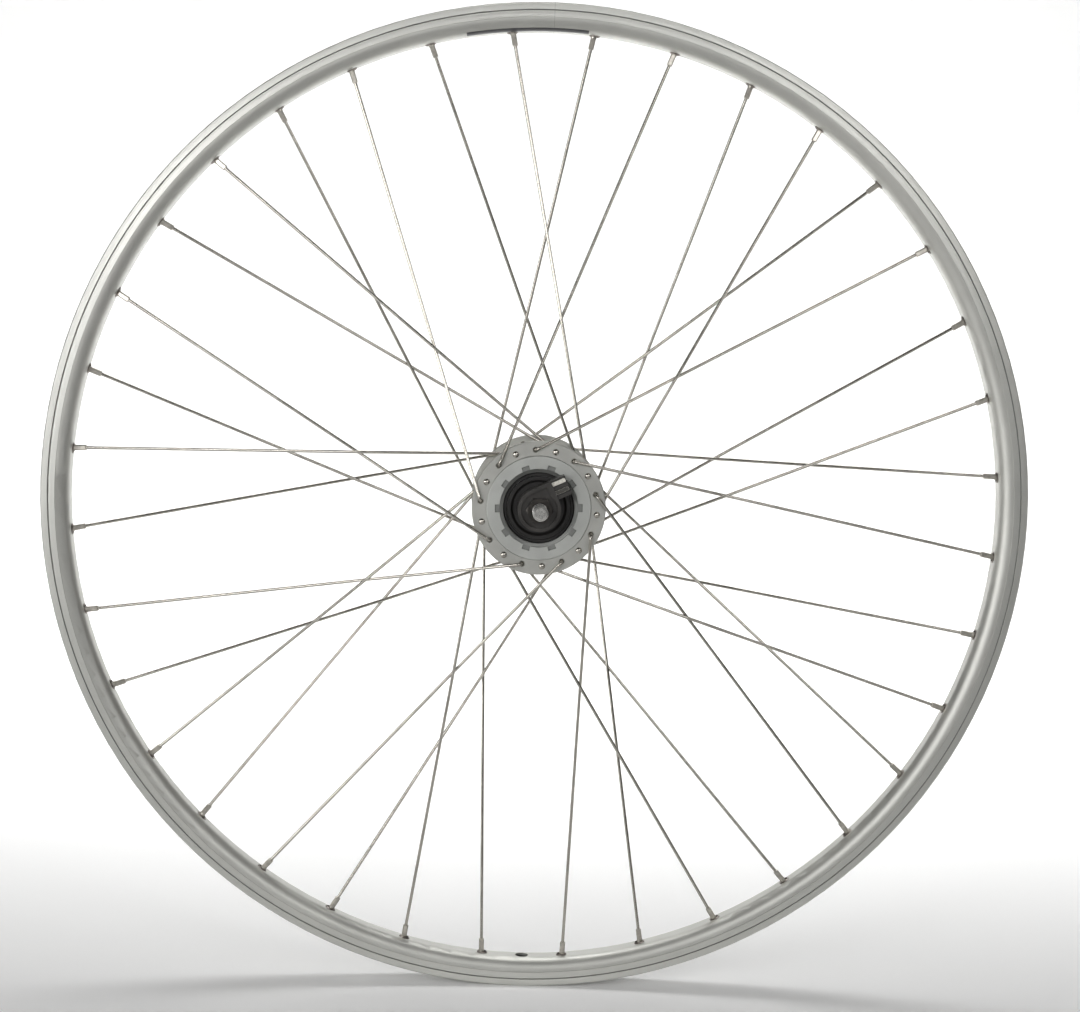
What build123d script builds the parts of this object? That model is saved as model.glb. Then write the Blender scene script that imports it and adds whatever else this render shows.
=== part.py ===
from build123d import *
import math
import os

# Front bicycle wheel with a dynamo in its hub, laced three-cross to a hollow rim with eyelets.
# The origin is on the axle, in the rim's middle plane. +Y runs along the axle to the plain side,
# so the dynamo's connector is on the -Y side. +Z is up and the valve hole is at the bottom.
# Sizes are millimetres. Angles are degrees, anticlockwise from +X as seen from the connector side.

# Rim section
BEAD_SEAT_RADIUS = 311.0
SIDEWALL_HEIGHT = 6.0
RIM_DEPTH = 17.3
RIM_WIDTH = 24.0
CHANNEL_WIDTH = 19.0
SIDEWALL = 1.5
HOOK_HEIGHT = 1.4
WELL_DEPTH = 3.0
WELL_WIDTH = 9.0
WELL_SLOPE = 2.4
BRIDGE = 1.4
BED = 1.6
BED_WIDTH = 8.0
BRAKE_TRACK_HEIGHT = 9.0
TRACK_STEP = 0.2
RIM_EDGE = 0.6
WEAR_GROOVE_DROP = 4.7
WEAR_GROOVE_WIDTH = 0.8
WEAR_GROOVE_DEPTH = 0.4

# Spokes, nipples and eyelets
SPOKES = 36
CROSSES = 3
SPOKE_RADIUS = 1.0
SPOKE_HEAD_RADIUS = 2.0
SPOKE_HEAD_HEIGHT = 1.3
SPOKE_HEAD_EDGE = 0.3
SPOKE_END_GAP = 1.0
ELBOW_RADIUS = 2.6
CROSSING_BEND_RADIUS = 60.0
CROSSING_GAP = 0.1
FACE_GAP = 0.1
HOLE_STAGGER = 0.5
VALVE_ANGLE = 270.0
VALVE_HOLE_RADIUS = 4.25
ACCESS_HOLE_RADIUS = 4.0
NIPPLE_RADIUS = 1.95
NIPPLE_HEAD_RADIUS = 3.0
NIPPLE_HEAD_TOP = 1.0
NIPPLE_LENGTH = 13.6
NIPPLE_COLLAR = 5.4
NIPPLE_FLATS = 3.3
NIPPLE_TIP = 0.5
NIPPLE_BORE_GAP = 0.05
EYELET_BORE_GAP = 0.6
EYELET_MOUTH_GAP = 0.12
EYELET_LIP = 0.2
EYELET_WALL = 0.45
EYELET_FLANGE = 0.5
EYELET_FLANGE_THICKNESS = 0.7
EYELET_FLANGE_EDGE = 0.35
EYELET_CURL = 0.5

# Fits: pressed or screwed together, running past each other, and turned steel on steel
FIT = 0.05
RUNNING_GAP = 0.4
RACE_GAP = 0.06

# Axle and what is tightened on it
AXLE_LENGTH = 140.0
AXLE_RADIUS = 4.76
AXLE_THREAD_DEPTH = 0.32
AXLE_MIDDLE_RADIUS = 5.5
AXLE_END_CHAMFER = 1.2
OVER_LOCKNUTS = 100.0
LOCKNUT_FLATS = 15.0
LOCKNUT_THICKNESS = 4.5
SPACER_RADIUS = 8.0
NUT_CHAMFER = 0.6
NUT_CHAMFER_ANGLE = 30.0
NUT_BORE_RELIEF = 0.2

# Generator, from the axle outwards
CORE_WALL = 4.35
BOBBIN_WALL = 1.0
COIL_DEPTH = 8.0
COIL_TO_CLAW = 1.2
CLAW_THICKNESS = 2.0
AIR_GAP = 0.6
MAGNET_THICKNESS = 4.0
FLUX_RING_THICKNESS = 2.0
SHELL_WALL = 2.6
POLE_PAIRS = 14
CLAW_ROOT_SHARE = 0.55
CLAW_TIP_SHARE = 0.25
MAGNETS = 4
MAGNET_SPACING = 1.0

# Generator, from the middle plane outwards on each side
COIL_HALF_WIDTH = 8.0
BOBBIN_FLANGE = 1.7
YOKE_THICKNESS = 2.0
CLAMP_NUT_FLATS = 17.0
CLAMP_NUT_THICKNESS = 4.0
MAGNET_OVERHANG = 1.0
FLUX_RING_OVERHANG = 2.0

# Bearings, cup and cone with caged balls
BALLS = 10
BALL_RADIUS = 2.38
CONE_NOSE_WALL = 2.37
CONE_COLLAR = 5.6
CUP_WALL = 2.26
CUP_BACK = 1.6
CUP_SKIRT = 3.0
CUP_PROUD = 1.0
CUP_STOP = 1.5
CUP_STOP_LEDGE = 2.0
BOSS_WALL = 3.5
BOSS_TO_CLAMP_NUT = 3.7
RACE_EDGE_ANGLE = 5.0
CAGE_LENGTH = 2.4
CAGE_POCKET_GAP = 0.07

# Hub shell, end cap, seals and covers
FLANGE_THICKNESS = 3.2
FLANGE_CHAMFER = 0.6
FLANGE_ROOT_FILLET = 2.0
FLANGE_EDGE = 5.5
HOLE_LAND = 3.8
SPOKE_HOLE_GAP = 0.3
SPOKE_HOLE_CHAMFER = 0.6
CAP_LIP = 1.7
CAP_PROUD = 0.7
CAP_SEAT_DEPTH = 2.3
CAP_SPIGOT_WALL = 2.6
CAP_SPIGOT_TO_FLUX_RING = 6.0
CAP_EDGE_CHAMFER = 0.4
WEB = 4.5
RECESS_DEPTH = 5.5
RECESS_WIDTH = 8.6
RECESS_WALL = 1.8
RECESS_CONE = 2.3
CAP_MOUTH_LIP = 1.0
CAP_SHELF_DROP = 0.8
CAP_TURN = 2.0
NOTCHES = 10
NOTCH_WIDTH = 5.0
NOTCH_DEPTH = 2.8
SEAL_WIDTH = 2.2
SEAL_HEIGHT = 2.0
SEAL_LIP = 0.7
COVER_RIM = 2.2
COVER_RIM_HEIGHT = 1.5
COVER_PLATE = 1.6
COVER_SLEEVE = 1.5

# Connector on the axle's end: a round boss, an arm tangent to it and a block with two tabs
BOSS_RADIUS = 13.6
BOSS_RIM = 2.2
BOSS_RECESS = 1.5
ARM_ANGLE = 25.0
ARM_RECESS = 10.0
BLOCK_START = 13.6
BLOCK_REACH = 23.0
BLOCK_WIDTH = 12.8
BLOCK_RISE = 0.6
BLOCK_DEPTH = 9.0
BLOCK_FRONT_STEP = 1.0
BLOCK_WALL = 1.3
TAB_INSET = 2.9
TAB_PITCH = 5.7
TAB_SLOT_WIDTH = 3.4
TAB_SLOT_DEPTH = 4.6
TAB_WIDTH = 2.6
TAB_THICKNESS = 0.8
TAB_CORNER = 0.6
TAB_SINK = 1.2
TAB_END_GAP = 0.6
LEAD_RADIUS = 0.6
LEAD_GROOVE_GAP = 0.3

RIGHT = -1
LEFT = 1
SIDES = {"right": RIGHT, "left": LEFT}

# Radii that follow: the rim
RIM_RADIUS = BEAD_SEAT_RADIUS + SIDEWALL_HEIGHT
BED_RADIUS = RIM_RADIUS - RIM_DEPTH
CHAMBER_FLOOR = BED_RADIUS + BED
WELL_RADIUS = BEAD_SEAT_RADIUS - WELL_DEPTH
HALF_WIDTH = RIM_WIDTH / 2
HALF_CHANNEL = CHANNEL_WIDTH / 2
TRACK_FOOT = RIM_RADIUS - BRAKE_TRACK_HEIGHT

# Radii that follow: the generator, the shell and the flanges
CORE_RADIUS = AXLE_MIDDLE_RADIUS + FIT + CORE_WALL
BOBBIN_RADIUS = CORE_RADIUS + FIT + BOBBIN_WALL
COIL_RADIUS = BOBBIN_RADIUS + FIT + COIL_DEPTH
CLAW_INNER_RADIUS = COIL_RADIUS + COIL_TO_CLAW
STATOR_RADIUS = CLAW_INNER_RADIUS + CLAW_THICKNESS
MAGNET_INNER_RADIUS = STATOR_RADIUS + AIR_GAP
MAGNET_RADIUS = MAGNET_INNER_RADIUS + MAGNET_THICKNESS
FLUX_RING_RADIUS = MAGNET_RADIUS + FIT + FLUX_RING_THICKNESS
SHELL_BORE = FLUX_RING_RADIUS + FIT
DRUM_RADIUS = SHELL_BORE + SHELL_WALL
CAP_RADIUS = DRUM_RADIUS + CAP_LIP
HOLE_CIRCLE = CAP_RADIUS + HOLE_LAND
FLANGE_RADIUS = HOLE_CIRCLE + FLANGE_EDGE
SPOKE_HOLE_RADIUS = SPOKE_RADIUS + SPOKE_HOLE_GAP

# Radii that follow: the bearings, the recess at each end and its cover
AXLE_SEAT_RADIUS = AXLE_RADIUS - AXLE_THREAD_DEPTH
AXLE_HOLE = AXLE_SEAT_RADIUS + FIT
CONE_NOSE_RADIUS = AXLE_HOLE + CONE_NOSE_WALL
RACE_RADIUS = BALL_RADIUS + RACE_GAP
PITCH_RADIUS = CONE_NOSE_RADIUS + RACE_RADIUS
CUP_MOUTH_RADIUS = PITCH_RADIUS + RACE_RADIUS
CUP_RADIUS = CUP_MOUTH_RADIUS + CUP_WALL
CUP_SEAT = CUP_RADIUS + FIT
BEARING_BOSS_RADIUS = CUP_SEAT + BOSS_WALL
RECESS_RADIUS = CUP_RADIUS + RECESS_WIDTH
RECESS_MOUTH = RECESS_RADIUS + RECESS_CONE
COVER_RADIUS = RECESS_RADIUS - SEAL_WIDTH - RUNNING_GAP
CONE_COLLAR_RADIUS = PITCH_RADIUS - RACE_RADIUS * math.sin(math.radians(RACE_EDGE_ANGLE))

# Distances from the middle plane that follow, the same on both sides
YOKE_INNER = COIL_HALF_WIDTH + FIT + BOBBIN_FLANGE + FIT
YOKE_OUTER = YOKE_INNER + YOKE_THICKNESS
CLAMP_NUT_OUTER = YOKE_OUTER + CLAMP_NUT_THICKNESS
BOSS_INNER = CLAMP_NUT_OUTER + BOSS_TO_CLAMP_NUT
CUP_INNER = BOSS_INNER + CUP_STOP
BALL_PLACE = CUP_INNER + CUP_BACK + RACE_RADIUS
CUP_OUTER = BALL_PLACE + CUP_SKIRT
WEB_OUTER = CUP_OUTER - CUP_PROUD
WEB_INNER = WEB_OUTER - WEB
FLANGE_OUTER = WEB_OUTER + RECESS_DEPTH
FLANGE_INNER = FLANGE_OUTER - FLANGE_THICKNESS
CAP_SEAT = FLANGE_OUTER - CAP_SEAT_DEPTH
CONE_OUTER = BALL_PLACE + RACE_RADIUS + CONE_COLLAR
LOCKNUT_OUTER = OVER_LOCKNUTS / 2
LOCKNUT_INNER = LOCKNUT_OUTER - LOCKNUT_THICKNESS
BOSS_FRONT = LOCKNUT_INNER + BOSS_RECESS
MAGNET_HALF_WIDTH = YOKE_OUTER - MAGNET_OVERHANG
FLUX_RING_HALF_WIDTH = YOKE_OUTER + FLUX_RING_OVERHANG
CAP_SPIGOT_END = FLUX_RING_HALF_WIDTH + CAP_SPIGOT_TO_FLUX_RING

# Where the nipples pivot: the ball-shaped head rests on the eyelet's inner edge
EYELET_BORE = NIPPLE_RADIUS + EYELET_BORE_GAP
EYELET_RADIUS = EYELET_BORE + EYELET_WALL
EYELET_TOP = CHAMBER_FLOOR + FIT + EYELET_CURL
NIPPLE_PIVOT = EYELET_TOP + math.sqrt(NIPPLE_HEAD_RADIUS**2 - EYELET_BORE**2) + FIT

# The lacing: each spoke's hole in its flange is this far round from its hole in the rim
SPOKES_PER_FLANGE = SPOKES // 2
SPOKES_PER_RUN = SPOKES // 4
RIM_PITCH = 360 / SPOKES
RUN_PITCH = 360 / SPOKES_PER_RUN
LACING_ANGLE = CROSSES * 360 / SPOKES_PER_FLANGE
FIRST_RIM_HOLE = VALVE_ANGLE + RIM_PITCH / 2


def polar(radius: float, angle: float, y: float = 0.0) -> Vector:
    """The point at a radius from the axle, an angle round it and a place along it."""
    turn = math.radians(angle)
    return Vector(radius * math.cos(turn), y, radius * math.sin(turn))


def radial_plane(radius: float, angle: float, y: float = 0.0) -> Plane:
    """A plane across a spoke hole of the rim, facing away from the axle."""
    return Plane(origin=polar(radius, angle, y), x_dir=(0, 1, 0), z_dir=polar(1, angle))


def side_plane(side: int, place: float) -> Plane:
    """A plane across the axle, seen from the connector side, at a place on one side of the wheel."""
    return Plane.XZ.offset(-side * place)


def outline(*points: tuple[float, float], side: int = LEFT) -> Sketch:
    """A closed outline of (radius, distance from the middle plane) points, for turning on the axle."""
    with BuildSketch(Plane.XY) as section:
        with BuildLine():
            Polyline(*[(radius, side * place) for radius, place in points], close=True)
        make_face()
    return section.sketch


def tube(inner: float, outer: float, start: float, end: float, side: int = LEFT) -> Sketch:
    """The outline of a plain ring round the axle."""
    return outline((inner, start), (outer, start), (outer, end), (inner, end), side=side)


def race_point(angle: float, side: int) -> tuple[float, float]:
    """A point of the ball's groove, by its angle from straight out towards the middle plane."""
    turn = math.radians(angle)
    radius = PITCH_RADIUS + RACE_RADIUS * math.cos(turn)
    return (radius, side * (BALL_PLACE - RACE_RADIUS * math.sin(turn)))


def finish(piece: BuildPart, label: str) -> None:
    """Names a finished piece and writes it."""
    piece.part.label = label
    export_step(piece.part, f"parts/{label}.step")


os.makedirs("parts", exist_ok=True)

# Rim: one extrusion, rolled and joined, with two bridges between its walls
with BuildPart() as rim:
    hook_edge = RIM_RADIUS - HOOK_HEIGHT
    hook_depth = HALF_WIDTH - SIDEWALL - HALF_CHANNEL
    groove = RIM_RADIUS - WEAR_GROOVE_DROP
    face_foot = TRACK_FOOT - TRACK_STEP
    face_radius = HALF_WIDTH - TRACK_STEP - BED_WIDTH / 2
    face_drop = face_foot - BED_RADIUS
    diagonal = math.sqrt(0.5)
    chamber_side = HALF_WIDTH - TRACK_STEP - SIDEWALL
    with BuildSketch(Plane.XY):
        with BuildLine():
            Polyline(
                (WELL_RADIUS, 0),
                (WELL_RADIUS, WELL_WIDTH / 2),
                (BEAD_SEAT_RADIUS, WELL_WIDTH / 2 + WELL_SLOPE),
                (BEAD_SEAT_RADIUS, HALF_WIDTH - SIDEWALL),
                (hook_edge - hook_depth, HALF_WIDTH - SIDEWALL),
                (hook_edge, HALF_CHANNEL),
                (RIM_RADIUS - RIM_EDGE, HALF_CHANNEL),
                (RIM_RADIUS, HALF_CHANNEL + RIM_EDGE),
                (RIM_RADIUS, HALF_WIDTH - RIM_EDGE),
                (RIM_RADIUS - RIM_EDGE, HALF_WIDTH),
                (groove + WEAR_GROOVE_WIDTH / 2, HALF_WIDTH),
                (groove, HALF_WIDTH - WEAR_GROOVE_DEPTH),
                (groove - WEAR_GROOVE_WIDTH / 2, HALF_WIDTH),
                (TRACK_FOOT, HALF_WIDTH),
                (face_foot, HALF_WIDTH - TRACK_STEP),
            )
            ThreePointArc(
                (face_foot, HALF_WIDTH - TRACK_STEP),
                (face_foot - face_drop * diagonal, BED_WIDTH / 2 + face_radius * diagonal),
                (BED_RADIUS, BED_WIDTH / 2),
            )
            Line((BED_RADIUS, BED_WIDTH / 2), (BED_RADIUS, 0))
            mirror(about=Plane.XZ)
        make_face()
        with BuildLine():
            Polyline(
                (WELL_RADIUS - BRIDGE, 0),
                (WELL_RADIUS - BRIDGE, WELL_WIDTH / 2),
                (BEAD_SEAT_RADIUS - BRIDGE, WELL_WIDTH / 2 + WELL_SLOPE),
                (BEAD_SEAT_RADIUS - BRIDGE, chamber_side),
                (face_foot, chamber_side),
            )
            ThreePointArc(
                (face_foot, chamber_side),
                (
                    face_foot - (face_drop - BED) * diagonal,
                    BED_WIDTH / 2 + (chamber_side - BED_WIDTH / 2) * diagonal,
                ),
                (CHAMBER_FLOOR, BED_WIDTH / 2),
            )
            Line((CHAMBER_FLOOR, BED_WIDTH / 2), (CHAMBER_FLOOR, 0))
            mirror(about=Plane.XZ)
        make_face(mode=Mode.SUBTRACT)
    revolve(axis=Axis.Y)
    rim_holes = []
    for index in range(SPOKES):
        # The first hole past the valve leads to the right flange, and they alternate from there
        stagger = HOLE_STAGGER * (RIGHT if index % 2 == 0 else LEFT)
        rim_holes.append((FIRST_RIM_HOLE + index * RIM_PITCH, stagger))
    chamber_middle = (CHAMBER_FLOOR + WELL_RADIUS - BRIDGE) / 2
    with Locations(*[radial_plane(chamber_middle, angle, y) for angle, y in rim_holes]):
        Cylinder(
            EYELET_RADIUS + FIT,
            RIM_DEPTH,
            align=(Align.CENTER, Align.CENTER, Align.MAX),
            mode=Mode.SUBTRACT,
        )
        Cylinder(
            ACCESS_HOLE_RADIUS,
            RIM_DEPTH,
            align=(Align.CENTER, Align.CENTER, Align.MIN),
            mode=Mode.SUBTRACT,
        )
    with Locations(radial_plane(chamber_middle, VALVE_ANGLE)):
        Cylinder(VALVE_HOLE_RADIUS, 2 * RIM_DEPTH, mode=Mode.SUBTRACT)
finish(rim, "rim")

# Hub shell: drum, two flanges and the plain side's end wall in one piece
with BuildPart() as hub_shell:
    with BuildSketch(Plane.XY):
        with BuildLine():
            Polyline(
                (CAP_RADIUS + FIT, -CAP_SEAT),
                (CAP_RADIUS + FIT, -FLANGE_OUTER),
                (FLANGE_RADIUS - FLANGE_CHAMFER, -FLANGE_OUTER),
                (FLANGE_RADIUS, FLANGE_CHAMFER - FLANGE_OUTER),
                (FLANGE_RADIUS, -FLANGE_INNER - FLANGE_CHAMFER),
                (FLANGE_RADIUS - FLANGE_CHAMFER, -FLANGE_INNER),
                (DRUM_RADIUS, -FLANGE_INNER),
                (DRUM_RADIUS, FLANGE_INNER),
                (FLANGE_RADIUS - FLANGE_CHAMFER, FLANGE_INNER),
                (FLANGE_RADIUS, FLANGE_INNER + FLANGE_CHAMFER),
                (FLANGE_RADIUS, FLANGE_OUTER - FLANGE_CHAMFER),
                (FLANGE_RADIUS - FLANGE_CHAMFER, FLANGE_OUTER),
                (RECESS_MOUTH, FLANGE_OUTER),
                (RECESS_RADIUS, WEB_OUTER + RECESS_WALL),
                (RECESS_RADIUS, WEB_OUTER),
                (CUP_SEAT, WEB_OUTER),
                (CUP_SEAT, CUP_INNER),
                (CUP_SEAT - CUP_STOP_LEDGE, CUP_INNER),
                (CUP_SEAT - CUP_STOP_LEDGE, BOSS_INNER),
                (BEARING_BOSS_RADIUS, BOSS_INNER),
                (BEARING_BOSS_RADIUS, WEB_INNER),
                (SHELL_BORE, WEB_INNER),
                (SHELL_BORE, -CAP_SEAT),
                close=True,
            )
        profile = make_face()
        roots = profile.vertices().filter_by(
            lambda corner: math.isclose(corner.X, DRUM_RADIUS, abs_tol=1e-6)
        )
        fillet(roots, FLANGE_ROOT_FILLET)
    revolve(axis=Axis.Y)
    for side in SIDES.values():
        # The left flange's holes lie half a pitch round from the right flange's
        first_hole = FIRST_RIM_HOLE + (RIM_PITCH if side == LEFT else 0)
        with BuildSketch(side_plane(side, FLANGE_OUTER)):
            with PolarLocations(HOLE_CIRCLE, SPOKES_PER_FLANGE, first_hole):
                Circle(SPOKE_HOLE_RADIUS)
        extrude(amount=side * FLANGE_THICKNESS, mode=Mode.SUBTRACT)
    hole_edges = hub_shell.edges().filter_by(GeomType.CIRCLE).filter_by(
        lambda edge: math.isclose(edge.radius, SPOKE_HOLE_RADIUS, abs_tol=1e-6)
    )
    chamfer(hole_edges, SPOKE_HOLE_CHAMFER)
finish(hub_shell, "hub_shell")

# End cap: screwed in the shell's open end, with tool notches round its mouth
with BuildPart() as end_cap:
    cap_face = FLANGE_OUTER + CAP_PROUD
    lip_foot = cap_face - CAP_MOUTH_LIP
    spigot = SHELL_BORE - FIT
    revolve(
        outline(
            (RECESS_MOUTH, cap_face),
            (CAP_RADIUS - CAP_EDGE_CHAMFER, cap_face),
            (CAP_RADIUS, cap_face - CAP_EDGE_CHAMFER),
            (CAP_RADIUS, CAP_SEAT + FIT),
            (spigot, CAP_SEAT + FIT),
            (spigot, CAP_SPIGOT_END),
            (spigot - CAP_SPIGOT_WALL, CAP_SPIGOT_END),
            (spigot - CAP_SPIGOT_WALL, WEB_INNER),
            (BEARING_BOSS_RADIUS, WEB_INNER),
            (BEARING_BOSS_RADIUS, BOSS_INNER),
            (CUP_SEAT - CUP_STOP_LEDGE, BOSS_INNER),
            (CUP_SEAT - CUP_STOP_LEDGE, CUP_INNER),
            (CUP_SEAT, CUP_INNER),
            (CUP_SEAT, WEB_OUTER),
            (RECESS_RADIUS, WEB_OUTER),
            (RECESS_RADIUS, lip_foot - CAP_SHELF_DROP),
            (RECESS_MOUTH, lip_foot),
            side=RIGHT,
        ),
        axis=Axis.Y,
    )
    with BuildSketch(side_plane(RIGHT, cap_face)):
        with PolarLocations(RECESS_MOUTH, NOTCHES, CAP_TURN):
            Rectangle(2 * NOTCH_DEPTH, NOTCH_WIDTH)
    extrude(amount=-CAP_MOUTH_LIP, mode=Mode.SUBTRACT)
finish(end_cap, "end_cap")

# Axle: thread at both ends, a thicker middle for the generator and a groove for the lead.
# Under the nuts and cones the thread is at its pitch radius, so that neither bites into the other.
block_high = BOSS_RADIUS + BLOCK_RISE
live_middle = block_high - TAB_INSET
ground_middle = live_middle - TAB_PITCH
tab_front = BOSS_FRONT - BLOCK_FRONT_STEP - TAB_SINK
lead_angle = ARM_ANGLE + math.degrees(math.atan2(live_middle, BLOCK_START))
lead_place = AXLE_SEAT_RADIUS - LEAD_RADIUS - LEAD_GROOVE_GAP
lead_end = tab_front - TAB_THICKNESS / 2
lead_bend = AXLE_SEAT_RADIUS - lead_place
groove_width = 2 * (LEAD_RADIUS + LEAD_GROOVE_GAP)
with BuildPart() as axle:
    seat_end = LOCKNUT_OUTER + FIT
    revolve(
        outline(
            (0, -AXLE_LENGTH / 2),
            (AXLE_RADIUS - AXLE_END_CHAMFER, -AXLE_LENGTH / 2),
            (AXLE_RADIUS, AXLE_END_CHAMFER - AXLE_LENGTH / 2),
            (AXLE_RADIUS, -seat_end),
            (AXLE_SEAT_RADIUS, -seat_end),
            (AXLE_SEAT_RADIUS, -YOKE_OUTER),
            (AXLE_MIDDLE_RADIUS, -YOKE_OUTER),
            (AXLE_MIDDLE_RADIUS, YOKE_OUTER),
            (AXLE_SEAT_RADIUS, YOKE_OUTER),
            (AXLE_SEAT_RADIUS, seat_end),
            (AXLE_RADIUS, seat_end),
            (AXLE_RADIUS, AXLE_LENGTH / 2 - AXLE_END_CHAMFER),
            (AXLE_RADIUS - AXLE_END_CHAMFER, AXLE_LENGTH / 2),
            (0, AXLE_LENGTH / 2),
        ),
        axis=Axis.Y,
    )
    groove_floor = lead_place - LEAD_RADIUS - LEAD_GROOVE_GAP
    groove_plane = Plane(
        polar(groove_floor, lead_angle), x_dir=(0, -1, 0), z_dir=polar(1, lead_angle)
    )
    with BuildSketch(groove_plane):
        with Locations((YOKE_INNER, 0)):
            Rectangle(
                lead_end + groove_width / 2 - YOKE_INNER,
                groove_width,
                align=(Align.MIN, Align.CENTER),
            )
    extrude(amount=AXLE_RADIUS, mode=Mode.SUBTRACT)
finish(axle, "axle")

# Bearings: a cone on the axle, a cup pressed in the shell or the cap, and caged balls between
for name, side in SIDES.items():
    with BuildPart() as cone:
        with BuildSketch(Plane.XY):
            with BuildLine():
                nose = race_point(180 + RACE_EDGE_ANGLE, side)
                collar = race_point(270 - RACE_EDGE_ANGLE, side)
                Polyline(
                    collar,
                    (CONE_COLLAR_RADIUS, side * CONE_OUTER),
                    (AXLE_HOLE, side * CONE_OUTER),
                    (AXLE_HOLE, side * CUP_INNER),
                    (nose[0], side * CUP_INNER),
                    nose,
                )
                ThreePointArc(nose, race_point(225, side), collar)
            make_face()
        revolve(axis=Axis.Y)
    finish(cone, f"{name}_cone")

    with BuildPart() as cup:
        with BuildSketch(Plane.XY):
            with BuildLine():
                mouth = race_point(RACE_EDGE_ANGLE, side)
                throat = race_point(90 - RACE_EDGE_ANGLE, side)
                Polyline(
                    throat,
                    (throat[0], side * CUP_INNER),
                    (CUP_RADIUS, side * CUP_INNER),
                    (CUP_RADIUS, side * CUP_OUTER),
                    (mouth[0], side * CUP_OUTER),
                    mouth,
                )
                ThreePointArc(mouth, race_point(45, side), throat)
            make_face()
        revolve(axis=Axis.Y)
    finish(cup, f"{name}_cup")

    ball_places = [
        polar(PITCH_RADIUS, index * 360 / BALLS, side * BALL_PLACE) for index in range(BALLS)
    ]
    with BuildPart() as balls:
        with Locations(*ball_places):
            Sphere(BALL_RADIUS)
    finish(balls, f"{name}_balls")

    with BuildPart() as cage:
        cage_inner = PITCH_RADIUS + RUNNING_GAP
        cage_outer = CUP_MOUTH_RADIUS - RUNNING_GAP
        cage_start = BALL_PLACE + RUNNING_GAP
        cage_end = cage_start + CAGE_LENGTH
        revolve(tube(cage_inner, cage_outer, cage_start, cage_end, side), axis=Axis.Y)
        with Locations(*ball_places):
            Sphere(BALL_RADIUS + CAGE_POCKET_GAP, mode=Mode.SUBTRACT)
    finish(cage, f"{name}_ball_cage")

    # Rubber lip seal in the recess, which turns with the wheel
    with BuildPart() as seal:
        seal_outer = RECESS_RADIUS - FIT
        seal_inner = RECESS_RADIUS - SEAL_WIDTH
        seal_foot = WEB_OUTER + FIT
        seal_top = seal_foot + SEAL_HEIGHT
        revolve(
            outline(
                (seal_inner + SEAL_LIP, seal_foot),
                (seal_outer, seal_foot),
                (seal_outer, seal_foot + RECESS_WALL - FIT),
                (seal_outer - SEAL_LIP, seal_top),
                (seal_inner, seal_top),
                (seal_inner, seal_top - SEAL_LIP),
                side=side,
            ),
            axis=Axis.Y,
        )
    finish(seal, f"{name}_seal")

    # Dished cover on the cone's collar, which stands still inside the seal
    with BuildPart() as cover:
        sleeve = CONE_COLLAR_RADIUS + FIT
        cover_foot = CUP_OUTER + RUNNING_GAP
        cover_face = cover_foot + COVER_PLATE
        rim_face = cover_face + COVER_RIM_HEIGHT
        revolve(
            outline(
                (sleeve, cover_foot),
                (COVER_RADIUS, cover_foot),
                (COVER_RADIUS, rim_face),
                (COVER_RADIUS - COVER_RIM, rim_face),
                (COVER_RADIUS - COVER_RIM - COVER_RIM_HEIGHT, cover_face),
                (sleeve + COVER_SLEEVE, cover_face),
                (sleeve + COVER_SLEEVE, CONE_OUTER),
                (sleeve, CONE_OUTER),
                side=side,
            ),
            axis=Axis.Y,
        )
    finish(cover, f"{name}_dust_cover")

    # Hexagonal nuts: one clamps the yokes, one locks the cone
    with BuildPart() as clamp_nut:
        with BuildSketch(side_plane(side, YOKE_OUTER)):
            RegularPolygon(CLAMP_NUT_FLATS / 2, 6, major_radius=False)
            Circle(AXLE_HOLE, mode=Mode.SUBTRACT)
        extrude(amount=-side * CLAMP_NUT_THICKNESS)
    finish(clamp_nut, f"{name}_clamp_nut")

    with BuildPart() as locknut:
        with BuildSketch(side_plane(side, LOCKNUT_INNER)):
            RegularPolygon(LOCKNUT_FLATS / 2, 6, major_radius=False)
        extrude(amount=-side * LOCKNUT_THICKNESS)
        corner_radius = LOCKNUT_FLATS / math.sqrt(3)
        chamfer_width = NUT_CHAMFER / math.tan(math.radians(NUT_CHAMFER_ANGLE))
        bore_chamfer = AXLE_THREAD_DEPTH + NUT_BORE_RELIEF
        revolve(
            outline(
                (AXLE_HOLE, LOCKNUT_INNER),
                (corner_radius, LOCKNUT_INNER),
                (corner_radius, LOCKNUT_OUTER - NUT_CHAMFER),
                (corner_radius - chamfer_width, LOCKNUT_OUTER),
                (AXLE_HOLE + bore_chamfer, LOCKNUT_OUTER),
                (AXLE_HOLE, LOCKNUT_OUTER - bore_chamfer),
                side=side,
            ),
            axis=Axis.Y,
            mode=Mode.INTERSECT,
        )
    finish(locknut, f"{name}_locknut")

# Spacer between the plain side's cone and locknut, where the other side has the connector
with BuildPart() as spacer:
    revolve(tube(AXLE_HOLE, SPACER_RADIUS, CONE_OUTER, LOCKNUT_INNER), axis=Axis.Y)
finish(spacer, "left_spacer")

# Generator: an iron core, a wound bobbin and two yokes whose claws interleave round the coil
with BuildPart() as core:
    revolve(tube(AXLE_MIDDLE_RADIUS + FIT, CORE_RADIUS, -YOKE_INNER, YOKE_INNER), axis=Axis.Y)
finish(core, "stator_core")

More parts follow.
